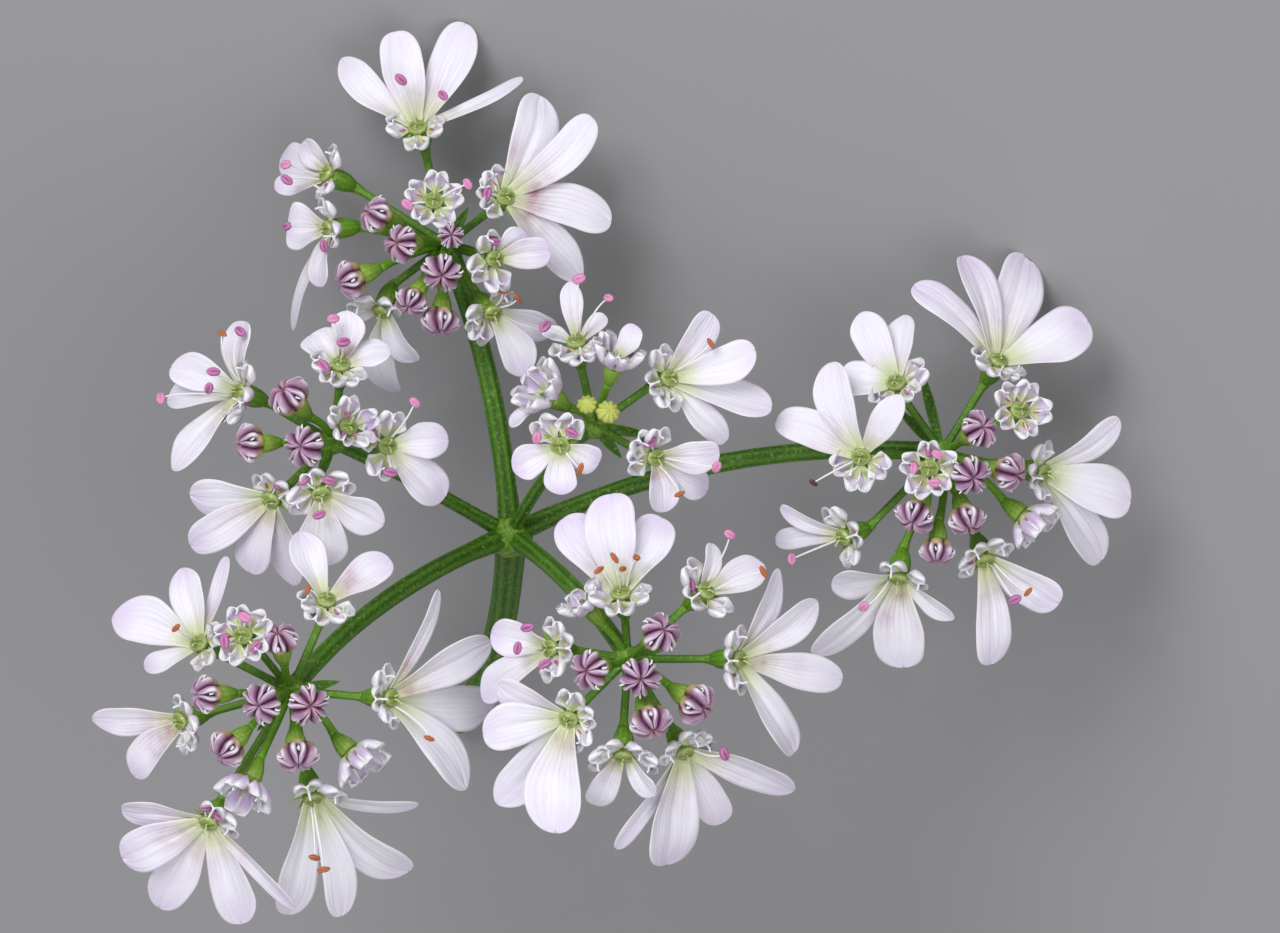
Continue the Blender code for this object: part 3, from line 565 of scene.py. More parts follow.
flowerForm = {
    "ovaryLength": 1.47,  # with the disc, as the solids have it
    "ovaryRadius": 0.47,
    "stalkRadius": 0.17,
    "fullness": 1.25,  # the petals' widths below are those of the solids' first, narrower outline
    "discRadius": 0.43,
    "petalThickness": 0.07,
    "arch": 0.1,
    "clawWidth": 0.3,
}


def facing(bearing, tilt):  # tilted away from the face's own direction, towards bearing
    lean = math.radians(tilt)
    return math.sin(lean) * bearingOf(bearing) + math.cos(lean) * np.array((0, 0, 1.0))


def petalLobe(piece, root, tip, way, width, tinge):
    # a flattened tube round a bent line: across = side * half * v, height = cup v^2 + waves + midrib
    length = np.linalg.norm(tip - root)
    body = np.linspace(0, 0.66, 20, endpoint=False)
    end = 0.66 + 0.34 * np.sin(np.linspace(0, math.pi / 2, 14))
    u = np.concatenate((body, end))
    v = np.linspace(-1, 1, 17)
    cup = chance.uniform(0.1, 0.45)
    curl = chance.uniform(-0.25, 0.1)
    twist = chance.uniform(-0.25, 0.25)
    sway = chance.uniform(-0.07, 0.07)
    phase = chance.uniform(0, 6.28, 3)
    notch = chance.uniform(0, 0.05)
    own = chance.uniform()
    middle = (root + tip) / 2 + way * flowerForm["arch"] * length
    s = u[:, None]
    line = root * (1 - s) ** 2 + middle * 2 * s * (1 - s) + tip * s ** 2
    heading = unit((middle - root) * (1 - s) + (tip - middle) * s)
    normal = unit(way - heading * (heading @ way)[:, None])
    side = np.cross(normal, heading)
    line = line + side * (sway * length * np.sin(math.pi * u))[:, None]
    lean = twist * u
    turned = side * np.cos(lean)[:, None] + normal * np.sin(lean)[:, None]
    normal = normal * np.cos(lean)[:, None] - side * np.sin(lean)[:, None]
    claw = flowerForm["clawWidth"] / width
    half = (claw + (1 - claw) * smooth(u, -0.22, 0.60)) * width / 2
    rounding = chance.choice((0.8, 0.9, 1.3))  # a few petals end in a blunt point
    half = half * np.sqrt(np.maximum(1 - np.clip((u - 0.66) / 0.34, 0, 1) ** 2, 0)) ** rounding
    half = np.maximum(half * (1 + 0.04 * np.sin(7 * u + phase[0])), 0.004)
    uu = u[:, None]
    vv = v[None, :]
    height = cup * half[:, None] * vv ** 2 * (1 - 0.6 * uu)
    height = height + 0.05 * half[:, None] * vv ** 2 * np.sin(9 * uu + phase[0] + 2.5 * vv)
    height = height + 0.035 * np.sin(5 * uu + phase[1]) * vv * half[:, None]
    height = height - 0.045 * width * np.exp(-(vv / 0.14) ** 2) * smooth(1 - uu, 0.1, 0.6)
    height = height + 0.007 * width * np.cos(vv * (9 + 5 * own) + phase[2] + 3 * uu) * smooth(uu, 0.1, 0.4) * (1 - vv ** 2)
    height = height + curl * length * 0.35 * smooth(uu, 0.55, 1.15) ** 1.5
    pull = -notch * length * np.exp(-((vv - 0.1) / 0.22) ** 2) * smooth(uu, 0.75, 1.0)
    thick = flowerForm["petalThickness"] / 2 * np.sqrt(1.02 - vv ** 6) * np.minimum(1, half[:, None] / 0.1)
    wobble = chance.uniform(-0.12, 0.12) * np.sin(math.pi * uu) + 0.03 * np.sin(13 * uu + phase[1])
    across = half[:, None] * (vv + wobble * (1 - vv ** 2) * 0.5 + wobble * np.abs(vv) * 0.5)
    def layer(offset):
        return (line[:, None, :] + turned[:, None, :] * across[..., None]
                + normal[:, None, :] * (height + offset)[..., None] + heading[:, None, :] * pull[..., None])
    grid = np.concatenate((layer(thick), layer(-thick)[:, ::-1]), axis=1)
    both = np.concatenate((vv, vv[:, ::-1]), axis=1) + 0 * uu
    along = uu + 0 * both
    mask = np.zeros((*both.shape, 4))
    mask[..., 0] = tinge * np.maximum(smooth(along, 0.45, 1.0), 0.9 * np.abs(both) ** 3)
    mask[..., 1] = 1 - smooth(along, 0.02, 0.38)
    mask[..., 2] = (1 - smooth(along, 0.1, 0.75)) * smooth(along, 0.0, 0.1)
    mask[..., 3] = np.abs(both) ** 8
    flow = np.stack((along, both, np.full(both.shape, own)), axis=-1)
    piece.add(grid, petalSkin, mask, flow)


def smallPetal(piece, root, outward, way, length, width, tinge, lift):
    # two spoons side by side: radial = L u (0.5 + 0.47 round), height = lift - bowl + rolled border
    side = np.cross(way, outward)
    u = np.linspace(0, 1, 18)[:, None]
    v = np.linspace(-1, 1, 27)[None, :]
    lobe = np.sqrt(np.maximum(1 - (2 * np.abs(v) - 1) ** 2, 0))
    own = chance.uniform()
    lean = chance.uniform(0.7, 1.2)
    tinge = (tinge + 0.3) * chance.uniform(0.6, 1.9)
    radial = length * (0.05 + u * (0.50 + 0.47 * lobe ** 0.7))
    half = width / 2 * (0.28 + 0.85 * smooth(u, 0.05, 0.65)) * (1 - 0.2 * u ** 4)
    across = half * np.sign(v) * np.abs(v) ** 0.9
    border = np.maximum(smooth(np.abs(2 * np.abs(v) - 1), 0.6, 1.0), smooth(u, 0.78, 1.0))
    height = lift * length * lean * u ** 1.2
    height = height - 0.17 * length * lobe * np.sin(math.pi * u) ** 0.8
    height = height + 0.13 * length * border * smooth(u, 0.1, 0.5)
    thick = (0.02 + 0.03 * border) * np.sqrt(np.maximum(1.02 - v ** 10, 0.0))
    def layer(offset):
        return (root + outward * radial[..., None] + side * across[..., None]
                + way * (height + offset)[..., None])
    grid = np.concatenate((layer(thick), layer(-thick)[:, ::-1]), axis=1)
    both = np.concatenate((v, v[:, ::-1]), axis=1) + 0 * u
    along = u + 0 * both
    border = np.concatenate((border, border[:, ::-1]), axis=1)
    mask = np.zeros((*both.shape, 4))
    mask[..., 0] = tinge * (1 - border) * smooth(along, 0.1, 0.4)
    mask[..., 1] = (1 - smooth(along, 0.25, 0.68)) * (1.2 - 0.8 * border)
    mask[..., 2] = 0.5 * (1 - smooth(along, 0.3, 0.9))
    mask[..., 3] = border * 1.3 * smooth(along, 0.1, 0.3)
    piece.add(grid, petalSkin, mask, np.stack((along, both, np.full(both.shape, own)), axis=-1))
    # the tongue between the lobes folds inwards: a narrow arc over the cup
    bend = np.linspace(0, 2.4, 9)[:, None]
    start = root + outward * length * 0.5 + way * height[9, 13]
    arc = start + outward * 0.16 * np.sin(bend) * length + way * (0.3 * (1 - np.cos(bend))) * length
    tongue = sweep(arc, np.linspace(0.07, 0.045, 9), 8)
    piece.add(tongue, petalSkin, (0.3 * tinge, 0.1, 0.0, 0.8), (0.5, 0.0, own))


def anther(piece, centre, long, age, scale=1.0):
    # two sacs side by side: an ellipsoid whose radius dips along both faces
    long = unit(long * np.array((1, 1, 0.5)))
    thin = unit(np.array((0, 0, 1.0)) - long * long[2] + chance.uniform(-0.35, 0.35, 3) * np.array((1, 1, 0)))
    thin = unit(thin - long * np.dot(thin, long))
    broad = np.cross(thin, long)
    size = {"y": 1.05, "p": 0.92, "r": 0.9, "s": 0.7}[age] * chance.uniform(0.9, 1.1) * scale
    broadSize = {"y": 0.20, "p": 0.23, "r": 0.14, "s": 0.16}[age]
    rows = 15
    columns = 26
    grid = ball(np.zeros(3), broad, thin, long, rows, columns)
    angles = np.arange(columns) * 2 * math.pi / columns
    polar = np.linspace(0.02, math.pi - 0.02, rows)[:, None]
    groove = np.exp(-((np.abs(np.cos(angles)) / 0.24) ** 2))[None, :] * np.sin(polar)
    a = grid @ broad
    b = grid @ thin * (1 - 0.42 * groove)
    c = grid @ long * (1 - 0.12 * np.exp(-((np.cos(angles)[None, :] / 0.5) ** 2)))
    lump = 1 + 0.05 * np.sin(7 * polar + 3 * angles[None, :]) * (age != "y")
    shape = (broad * (a * broadSize * lump)[..., None] + thin * (b * 0.16 * lump)[..., None]
             + long * (c * 0.32)[..., None]) * size
    mask = np.zeros((rows, columns, 4))
    border = smooth(np.abs(np.cos(angles)), 0.8, 1.0)[None, :] * np.ones((rows, 1))
    # painted shade: the furrow between the sacs, and the outline
    mask[..., 0] = np.maximum(groove, 0.8 * border) * {"y": 0.9, "p": 0.4, "r": 0.7, "s": 0.5}[age]
    mask[..., 1] = {"y": 0.25, "p": 1.0, "r": 0.1, "s": 0.0}[age]
    mask[..., 2] = 1.0 if age == "r" else 0.0
    mask[..., 3] = 1.0 if age == "s" else 0.0
    piece.add(centre + shape, antherSkin, mask)


def stamen(piece, foot, centre, way, age):
    # a thread on a bowed path, thinner towards the anther that it carries
    reach = np.linalg.norm(centre - foot)
    path = bowedPath(foot, centre, way * 0.16 * reach, 14)
    piece.add(sweep(path, np.linspace(0.055, 0.03, 14), 8), threadSkin)
    heading = unit(path[-1] - path[-2])
    tilt = unit(np.cross(heading, way) + chance.uniform(-0.5, 0.5, 3))
    anther(piece, centre, tilt, age)


def disc(piece, middle, way, first, second):
    # a cushion in two halves: height = rise (1 - r^2)^0.6 less a groove between the halves
    columns = 40
    radial = np.concatenate((np.linspace(0.02, 0.8, 12), np.linspace(0.84, 1.0, 6)))[:, None]
    angles = (np.arange(columns) * 2 * math.pi / columns)[None, :]
    radius = flowerForm["discRadius"] * (1 + 0.07 * np.cos(2 * angles) + 0.03 * np.cos(10 * angles) * radial ** 3)
    groove = np.exp(-((radial * np.sin(angles) / 0.13) ** 2)) * (1 - radial ** 4)
    pit = np.exp(-(((radial - 0.32) / 0.1) ** 2)) * np.exp(-((np.cos(angles) ** 2 / 0.35) ** 2))
    height = 0.30 * (1 - radial ** 2) ** 0.6 - 0.09 * groove - 0.03 * pit + 0.08
    top = middle + (radius * radial)[..., None] * (
        np.cos(angles)[..., None] * first + np.sin(angles)[..., None] * second) + height[..., None] * way
    skirt = top[-1:] - way * 0.3 - unit(top[-1:] - middle) * 0.12
    grid = np.concatenate((top, skirt), axis=0)
    mask = np.zeros((*grid.shape[:2], 4))
    # painted shade in the groove and the pits
    mask[:-1, :, 0] = np.clip(groove * 0.5 + pit * 0.4, 0, 1)
    mask[:-1, :, 1] = 0.5 * np.exp(-(((radial - 0.85) / 0.1) ** 2))
    piece.add(grid, discSkin, mask)
    for sign in (-1, 1):  # two styles, spreading from the groove
        base = middle + way * 0.32 + second * 0.07 * sign
        reach = chance.uniform(0.25, 0.5)
        tip = base + way * reach + second * sign * 0.22 + first * chance.uniform(-0.12, 0.12)
        path = bowedPath(base, tip, second * -0.05 * sign, 10)
        radii = np.append(np.linspace(0.06, 0.035, 8), (0.05, 0.03))
        piece.add(sweep(path, radii, 10), discSkin, (0, 0.8, 0, 0))


def ovaryAndStalk(piece, knot, middle, way, place):
    foot = np.array(place) - way * flowerForm["ovaryLength"]
    bow = 0.12 * np.linalg.norm(foot) * unit(np.array((foot[0], foot[1], 0.0)) + 1e-6)
    path = knot + bowedPath((0, 0, 0), foot, bow, 26)
    share = np.linspace(0, 1, 26)
    radii = flowerForm["stalkRadius"] * (1 + 0.35 * hump(share, 0, 0.12) + 0.5 * smooth(share, 0.8, 1.0))
    grid, rib = ribbed(path, radii, 24, 6, 0.09)
    light = 0.2 + 0.3 * smooth(share, 0.2, 1.0)[:, None] + 0 * rib
    piece.add(grid, stemSkin, stemMask(rib, light))
    # the ovary: an upturned egg with ten ribs, under a shallow cup that carries the petals
    rows = 22
    columns = 60
    down = np.linspace(0, 1, rows)
    outline = flowerForm["ovaryRadius"] * (
        0.42 + 0.58 * np.sin(math.pi * np.clip(down * 0.78 + 0.04, 0, 1)) ** 0.8)
    outline = outline * (1 - 0.12 * smooth(down, 0.86, 1.0))
    line = middle + way * (-flowerForm["ovaryLength"] * (1 - down) - 0.02)[:, None]
    grid, rib = ribbed(line, outline, columns, 10, 0.035)
    yellow = 0.2 * smooth(down, 0.6, 1.0)[:, None] + 0 * rib
    piece.add(grid, stemSkin, stemMask(rib, 0.35 + 0.3 * down[:, None] + 0 * rib, yellow))


def calyxTooth(piece, root, outward, way, length):
    # a narrow pointed leaf: half width = w (1 - u)^0.7 with a swollen foot
    side = np.cross(way, outward)
    u = np.linspace(0, 1, 9)
    path = root + outward * (u * length)[:, None] + way * (0.25 * length * u ** 2)[:, None]
    half = 0.14 * (1 - u) ** 0.7 + 0.006
    angles = np.arange(10) * 2 * math.pi / 10
    ringed = (np.cos(angles)[None, :, None] * side * half[:, None, None]
              + np.sin(angles)[None, :, None] * way * (half * 0.3)[:, None, None])
    light = np.full((9, 10), 0.8)
    piece.add(path[:, None, :] + ringed, stemSkin, stemMask(light, light, 0.3 * light))


def makeFlower(umbellet, number, row):
    place, (bearing, tilt), lobes, small, anthers = row
    node = f"flower_{umbellet}_{number}"
    knot = np.array(rays[umbellet][0])
    middle = knot + np.array(place)
    way = facing(bearing, tilt)
    first, second = crossAxes(way)
    corners = inHead(cornersOf(node))
    piece = Piece(node + "_look")
    ovaryAndStalk(piece, knot, middle, way, place)
    disc(piece, middle, way, first, second)
    def flat(degrees):  # a bearing across the face, laid into the flower's own plane
        across = bearingOf(degrees)
        return unit(across - way * np.dot(across, way))
    tinge = chance.uniform(0.25, 0.8)
    for lobeBearing, reach, width in lobes:
        across = bearingOf(lobeBearing)
        aim = middle + across * reach
        near = np.argsort(np.linalg.norm(corners[:, :2] - aim[:2], axis=1))[:4]
        tip = np.array((aim[0], aim[1], corners[near, 2].mean()))
        root = middle + flat(lobeBearing) * flowerForm["discRadius"] * 0.8 + way * 0.02
        full = width * flowerForm["fullness"] if width > 1 else width
        petalLobe(piece, root, tip, way, full, tinge)
    bigSmall = 1.0 if lobes else 0.9
    for smallBearing in small:
        outward = flat(smallBearing + chance.uniform(-6, 6))
        root = middle + outward * flowerForm["discRadius"] * 0.75
        length = chance.uniform(1.0, 1.25) * bigSmall
        smallPetal(piece, root, outward, way, length, length * 1.1, 0.8 if lobes else 1.1, chance.uniform(0.1, 0.45))
        if chance.uniform() < 0.3:  # a stamen still folded into the petal's cup
            spot = root + outward * length * 0.42 + way * 0.12
            anther(piece, spot, unit(outward + way * 0.5), chance.choice(("y", "r")), 0.7)
    for turnStep in range(5):
        outward = flat(bearing + 36 + 72 * turnStep + chance.uniform(-8, 8))
        calyxTooth(piece, middle + outward * 0.42 - way * 0.12, outward, way, chance.uniform(0.3, 0.6))
    for antherBearing, reach, rise, age in anthers:
        across = bearingOf(antherBearing)
        centre = middle + across * reach + way * rise * 0.55 + np.array((0, 0, rise * 0.45))
        foot = middle + flat(antherBearing) * flowerForm["discRadius"] * 0.9 + way * 0.08
        stamen(piece, foot, centre, way, age)
    return piece.build(node)


for umbellet, rows in flowers.items():
    for number, row in enumerate(rows, 1):
        makeFlower(umbellet, number, row)
    print("flowers made:", umbellet)


# Buds, knots and bractlets -----------------------------------------------------------------------

# Buds, from the umbellet's knot, with the radius of the head of petals. Some are opening, a few with
# one lobe already out, at a bearing and length, and the smallest are green.
buds = {
    "top": ((-3.1, 1.3, 2.6, 0.75), (-4.3, -1.6, 2.4, 0.8), (-1.9, 0.0, 3.6, 0.75), (-0.1, -1.3, 3.9, 0.8),
            (-1.5, -2.6, 3.0, 0.7), (-0.2, -3.5, 2.4, 0.75), (0.3, 0.3, 4.4, 0.5)),
    "left": ((-3.6, -0.1, 2.4, 0.75), (-1.8, 2.0, 2.8, 0.8), (-1.1, -0.2, 3.4, 0.8),
             (0.9, 0.7, 3.4, 0.7, "opening")),
    "centre": ((1.0, 3.0, 2.8, 0.7, "opening", (60, 1.7)), (-2.2, 1.5, 2.6, 0.8, "opening", (-136, 2.2)),
               (0.6, 0.6, 2.8, 0.45, "green"), (-0.3, 0.9, 2.6, 0.4, "green")),
    "right": ((1.5, 1.0, 3.6, 0.75), (1.1, -1.0, 4.2, 0.8), (2.9, -0.9, 3.0, 0.75), (-1.3, -2.8, 3.2, 0.8),
              (1.0, -3.0, 3.0, 0.75), (-0.3, -4.4, 2.4, 0.7), (3.9, -3.1, 1.4, 0.8, "opening")),
    "lower": ((1.4, 1.2, 3.6, 0.8), (-1.6, -0.4, 3.6, 0.8), (1.0, -2.7, 3.2, 0.8), (3.0, -1.9, 2.8, 0.8),
              (-1.9, 2.6, 1.4, 0.7, "opening"), (0.5, -0.7, 3.9, 0.8)),
    "lower_left": ((-3.6, -0.1, 3.2, 0.75), (0.9, -0.5, 3.9, 0.8), (-2.7, -2.5, 3.0, 0.75),
                   (0.4, -2.8, 3.2, 0.8), (-0.4, 2.3, 3.2, 0.75), (-1.1, -0.5, 3.7, 0.8),
                   (-1.9, -4.3, 2.2, 0.8, "opening"), (3.0, -3.0, 1.6, 0.8, "opening")),
}

# Bractlets under the umbellets: bearing, reach and rise of the tip.
bractlets = {
    "top": ((345, 2.2, -0.8), (60, 2.0, -0.6)),
    "left": ((25, 2.4, -0.6), (250, 2.0, -0.8)),
    "centre": ((310, 1.9, -0.2), (350, 2.6, -0.4)),
    "right": ((104, 4.2, -0.6), (135, 3.0, -1.0), (250, 2.2, -0.6)),
    "lower": ((20, 2.4, -0.8), (200, 2.2, -0.8)),
    "lower_left": ((230, 2.4, -0.8), (10, 2.2, -0.6)),
}


def budHead(piece, centre, way, size, green=0.0):
    # a ball of five coffee beans: radius = 1 - creases between them - the slit down each one
    rows = 46
    columns = 110
    first, second = crossAxes(way)
    polar = np.linspace(0.015, math.pi - 0.02, rows)[:, None]
    angles = (np.arange(columns) * 2 * math.pi / columns)[None, :]
    spin = chance.uniform()
    part = ((angles * 5 / (2 * math.pi) + spin) % 1) - 0.5
    whichOne = ((angles * 5 / (2 * math.pi) + spin) // 1) % 5
    plump = 1 + chance.uniform(-0.08, 0.08, 5)[whichOne.astype(int)]
    skew = chance.uniform(-0.05, 0.05, 5)[whichOne.astype(int)]
    puff = np.sqrt(np.maximum(1 - (2 * part) ** 2 * 0.98, 0.02)) ** 0.9
    deep = smooth(polar, 0.02, 0.35) * (1 - 0.75 * smooth(polar, 1.7, 2.5))
    ripe = 1 - 0.8 * green  # green ones are nearly smooth
    radius = plump - 0.52 * ripe * (1 - puff) * deep
    window = smooth(polar, 0.2, 0.5) * (1 - smooth(polar, 1.5, 1.9))
    width = 0.034 + 0.06 * smooth(polar, 0.7, 1.3)
    slit = hump(part - skew, 0, width) * window
    lip = hump(np.abs(part - skew), width * 2.1, width * 0.9) * window
    radius = radius - 0.32 * ripe * slit + 0.03 * ripe * lip + 0.09 * hump(np.abs(part), 0.26, 0.14) * window
    radius = radius + 0.10 * puff * hump(polar, 1.3, 0.4)
    radius = radius - 0.45 * ripe * hump(polar, 0, 0.24)
    radius = radius * (1 - 0.3 * smooth(polar, 2.0, 3.0))
    spread = radius * np.sin(polar)
    rise = radius * np.cos(polar) * np.where(polar < 1.57, 0.82, 0.95)
    grid = centre + size * (spread[..., None] * (np.cos(angles)[..., None] * first + np.sin(angles)[..., None] * second)
                            + rise[..., None] * way)
    mask = np.zeros((rows, columns, 4))
    # painted shadow: the slits and the dimple at the top
    mask[..., 0] = (1 - green) * np.clip(slit * 1.7 + hump(polar, 0, 0.2) * 0.8, 0, 1)
    # painted shade in the creases between the petals
    mask[..., 1] = (1 - green) * np.clip(1.6 * (1 - puff) ** 0.8, 0, 1) * smooth(polar, 0.1, 0.4)
    mask[..., 2] = np.maximum(smooth(polar, 1.5, 2.1), green)
    # painted highlight: the slits' lips and a spot on each lobe's crest
    mask[..., 3] = (1 - green) * np.clip(lip * 0.55 + 0.7 * hump(polar, 1.45, 0.2) * hump(part, 0, 0.2), 0, 1)
    flow = np.zeros((rows, columns, 3))
    flow[..., 0] = (1 - smooth(polar, 0.2, 0.9)) * chance.uniform(0.2, 0.7)
    flow[..., 1] = hump(polar, 1.35, 0.35) * chance.uniform(0.4, 0.9)
    piece.add(grid, budSkin, mask, flow)
    for step in range(0 if green else 5):  # the white curl where each petal's point tucks in
        angle = (step + 0.5 - spin) * 2 * math.pi / 5
        outward = math.cos(angle) * first + math.sin(angle) * second
        side = np.cross(way, outward)
        hub = centre + size * (outward * 0.98 + way * 0.18)
        bend = np.linspace(-0.4, 4.2, 12)
        small = 0.14 * size
        arc = hub + outward * (small * np.cos(bend))[:, None] + (way * 0.8 - side * 0.3) * (small * np.sin(bend))[:, None]
        piece.add(sweep(arc, np.full(12, 0.05 * size) * np.sin(np.linspace(0.3, 2.6, 12)) ** 0.5, 8), budSkin, (0, 0, 0, 1))


def openingPetals(piece, middle, way, size):
    # a flower just opening: the small petals stand up round its disc, anthers between them
    first, second = crossAxes(way)
    disc(piece, middle, way, first, second)
    spin = chance.uniform(0, 72)
    for step in range(5):
        angle = math.radians(spin + 72 * step + chance.uniform(-7, 7))
        outward = math.cos(angle) * first + math.sin(angle) * second
        root = middle + outward * flowerForm["discRadius"] * 0.75
        length = size * chance.uniform(1.15, 1.4)
        smallPetal(piece, root, outward, way, length, length * 1.05, 1.4, chance.uniform(0.7, 1.1))
        if chance.uniform() < 0.7:
            anther(piece, root + outward * length * 0.25 + way * length * 0.3, outward + way * 0.3, "y", 0.6)


def makeBud(piece, knot, bud):
    centre = knot + np.array(bud[:3])
    size = bud[3]
    way = unit(np.array(bud[:3]) * np.array((1.5, 1.5, 1.0)))  # buds nod outwards
    side = crossAxes(way)[0]
    neck = centre - way * (size * 0.9 + 0.75)
    path = bowedPath(knot, neck, side * chance.uniform(-0.25, 0.25), 20)
    share = np.linspace(0, 1, 20)
    grid, rib = ribbed(path, 0.17 + 0.04 * smooth(share, 0.8, 1), 18, 6, 0.08)
    piece.add(grid, stemSkin, stemMask(rib, 0.55 + 0 * rib))
    # the young ovary under the bud
    down = np.linspace(0, 1, 14)
    outline = size * (0.22 + 0.36 * np.sin(math.pi * (0.06 + 0.5 * down)) ** 1.2)
    line = neck + way * (down * (size * 0.9 + 0.3))[:, None] - way * 0.05
    grid, rib = ribbed(line, outline, 40, 10, 0.04)
    piece.add(grid, stemSkin, stemMask(rib, 0.45 + 0 * rib, 0.25 * down[:, None] + 0 * rib))
    kind = bud[4] if len(bud) > 4 else "closed"
    if kind != "opening":
        budHead(piece, centre, way, size * 1.06, 1.0 if kind == "green" else 0.0)
        return
    openingPetals(piece, centre - way * size * 0.5, way, size)
    for bearing, length in bud[5:]:
        tip = centre + bearingOf(bearing) * length
        petalLobe(piece, centre - way * size * 0.4 + bearingOf(bearing) * 0.3, tip, way, 1.1, 0.7)


def bractlet(piece, knot, bearing, reach, rise):
    # a narrow channelled leaf: half width = w sin(pi u^0.8), height sinks to its middle line
    outward = bearingOf(bearing)
    side = np.cross(np.array((0, 0, 1.0)), outward)
    u = np.linspace(0, 1, 18)[:, None]
    v = np.linspace(-1, 1, 9)[None, :]
    up = np.array((0, 0, 1.0))
    half = 0.24 * np.sin(math.pi * np.clip(0.12 + 0.88 * u, 0, 1)) ** 0.8 + 0.004
    height = rise * u ** 1.3 + 0.5 * half * v ** 2
    thick = 0.035 + 0 * u
    def layer(offset):
        return (knot + outward * (reach * u + 0 * v)[..., None] + side * (half * v)[..., None]
                + up * (height + offset)[..., None])
    grid = np.concatenate((layer(thick), layer(-thick)[:, ::-1]), axis=1)
    both = np.concatenate((v, v[:, ::-1]), axis=1) + 0 * u
    piece.add(grid, stemSkin, stemMask(np.abs(both), 0.05 + 0.15 * np.abs(both)))


def wartyBall(piece, centre, radius, rows, columns, warts, light):
    # a ball whose radius rises in small warts, products of sines at uneven rates
    polar = np.linspace(0.02, math.pi - 0.02, rows)[:, None]
    angles = (np.arange(columns) * 2 * math.pi / columns)[None, :]
    wart = np.sin(9 * polar + 2 * np.sin(3 * angles)) * np.sin(7 * angles + 2 * np.cos(4 * polar))
    size = radius * (1 + warts * wart * np.sin(polar))
    shape = np.stack((np.sin(polar) * np.cos(angles), np.sin(polar) * np.sin(angles), np.cos(polar) + 0 * angles), axis=-1)
    rib = np.clip(wart * 0.5 + 0.5, 0, 1)
    piece.add(centre + shape * size[..., None], stemSkin, stemMask(rib, light + 0.3 * rib, 0.15 * rib))


def makeBudCluster(name):
    piece = Piece(f"buds_{name}_look")
    knot = np.array(rays[name][0])
    wartyBall(piece, knot, 0.6, 30, 44, 0.05, 0.3)
    for bud in buds[name]:
        makeBud(piece, knot, bud)
    for leaf in bractlets[name]:
        bractlet(piece, knot, *leaf)
    return piece.build("buds_" + name)


for name in buds:
    makeBudCluster(name)
print("buds made")


# Rays and stalk ----------------------------------------------------------------------------------

def makeRay(name):
    knot, radius, bow = rays[name]
    path = bowedPath((0, 0, 0), knot, bow, 90)
    share = np.linspace(0, 1, 90)
    swell = 1 + 0.18 * hump(share, 0.06, 0.07) + 0.12 * hump(share, 1, 0.05)
    wander = 0.02 * np.sin(11 * share + radius * 40)
    grid, rib = ribbed(path, radius * (swell + wander), 48, 6, 0.10)
    piece = Piece(f"ray_{name}_look")
    piece.add(grid, stemSkin, stemMask(rib, 0.02 + 0.06 * share[:, None] + 0.10 * rib))
    return piece.build("ray_" + name)


def makeStalk():
    path = bowedPath(head["stalkEnd"], (0, 0, 0), head["stalkBow"], 90)
    share = np.linspace(0, 1, 90)
    radii = head["stalkRadius"] * (1 + 0.1 * hump(share, 1, 0.1))
    grid, rib = ribbed(path, radii, 72, 9, 0.06)
    piece = Piece("stalk_look")
    piece.add(grid, stemSkin, stemMask(rib, 0.02 + 0.10 * rib))
    wartyBall(piece, np.array((0, 0, 0.1)), 1.0, 60, 90, 0.045, 0.35)
    return piece.build("stalk")


for name in rays:
    makeRay(name)
makeStalk()
print("rays and stalk made")


# Floor, light and camera -------------------------------------------------------------------------

studio = {
    "floor": (0.27, 0.27, 0.28),
    "floorSize": 2.0,
    "cameraAim": (5.94, 3.17),  # what the picture's middle looks at, across the head's face
    "cameraFar": 400.0,
    "frameWidth": 57.6,  # at the depth below
    "frameDepth": 8.0,
    "world": 0.42,
}


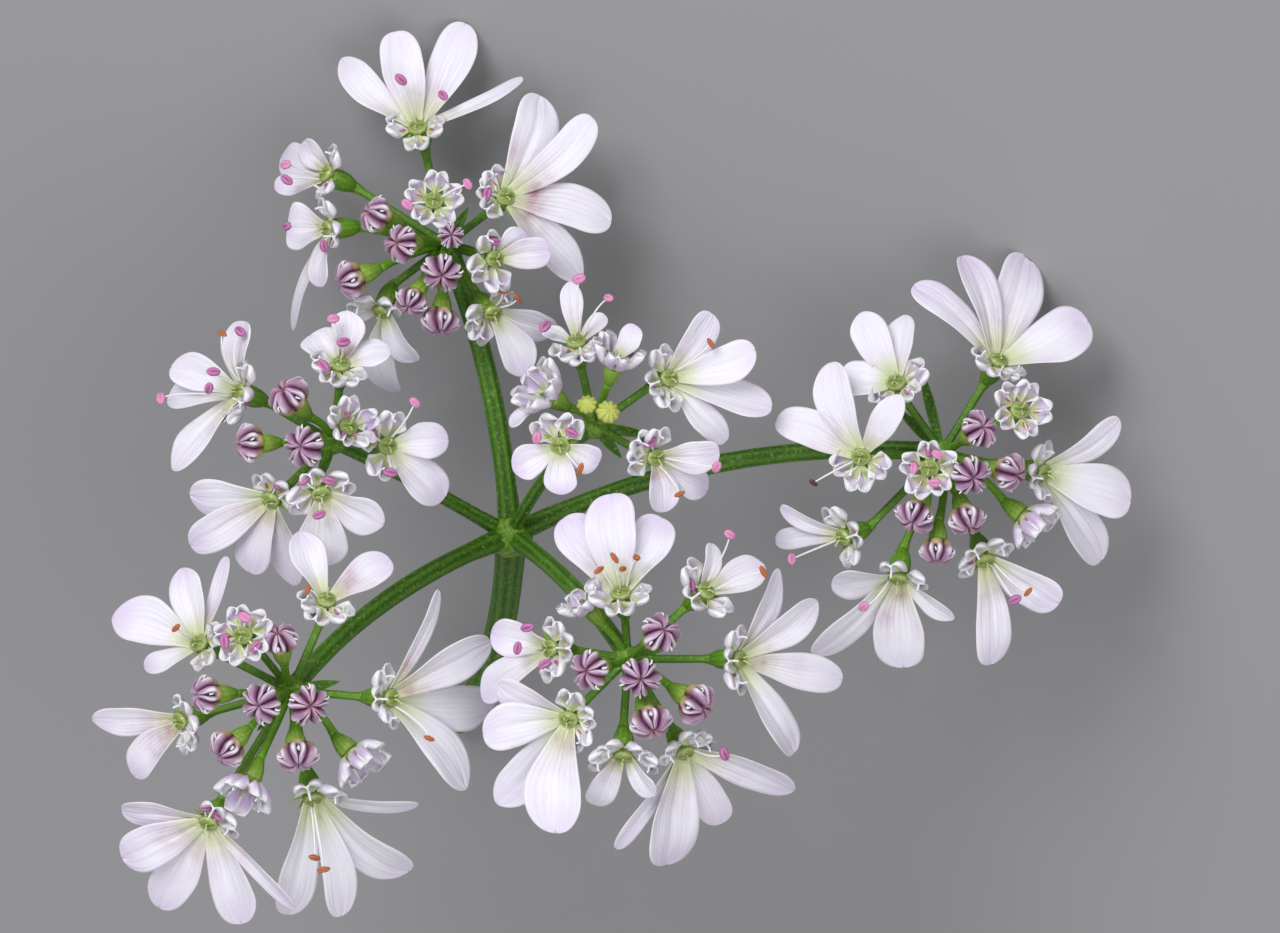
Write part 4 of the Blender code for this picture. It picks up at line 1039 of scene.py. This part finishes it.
def makeFloor():
    finish = Finish("floorPaper", {})
    cloud = finish.noise(60.0)
    colour = finish.blend(cloud, studio["floor"], tuple(c * 1.04 for c in studio["floor"]))
    material = finish.finishWith(colour, 0.85 + cloud * 0.1)
    half = studio["floorSize"] / 2
    mesh = bpy.data.meshes.new("floor")
    mesh.from_pydata([(-half, -half, 0), (half, -half, 0), (half, half, 0), (-half, half, 0)], [], [(0, 1, 2, 3)])
    mesh.materials.append(material)
    floor = bpy.data.objects.new("floor", mesh)
    bpy.context.scene.collection.objects.link(floor)


def pointed(thing, place, target, over=(0.0, 1.0, 0.0)):
    # turns a camera or lamp at place to look at target, both in the head's frame
    from mathutils import Matrix
    back = unit(np.array(place, float) - np.array(target, float))
    right = unit(np.cross(over, back))
    axes = np.stack((right, np.cross(back, right), back), axis=1)
    world = np.eye(4)
    world[:3, :3] = turn @ axes
    world[:3, 3] = onTable(np.array(place, float))
    thing.matrix_world = Matrix(world.tolist())


def makeLamp(name, place, size, power):
    lamp = bpy.data.lights.new(name, "AREA")
    lamp.shape = "DISK"
    lamp.size = size
    lamp.energy = power
    made = bpy.data.objects.new(name, lamp)
    bpy.context.scene.collection.objects.link(made)
    pointed(made, place, (5.0, 3.0, 5.0))


def makeCamera():
    camera = bpy.data.cameras.new("camera")
    camera.sensor_width = 36.0
    camera.lens = camera.sensor_width * (studio["cameraFar"] - studio["frameDepth"]) / studio["frameWidth"]
    camera.clip_start = 0.01
    made = bpy.data.objects.new("camera", camera)
    bpy.context.scene.collection.objects.link(made)
    x, y = studio["cameraAim"]
    pointed(made, (x, y, studio["cameraFar"]), (x, y, 0))
    bpy.context.scene.camera = made


def makeWorld():
    world = bpy.data.worlds.new("studio")
    world.use_nodes = True
    background = world.node_tree.nodes["Background"]
    background.inputs["Color"].default_value = (1, 1, 1, 1)
    background.inputs["Strength"].default_value = studio["world"]
    bpy.context.scene.world = world


makeFloor()
makeCamera()
makeWorld()
makeLamp("keyLamp", (-150, 190, 360), 0.24, 1.3)
makeLamp("fillLamp", (110, -130, 360), 0.3, 0.55)
bpy.context.scene.view_settings.view_transform = "Standard"
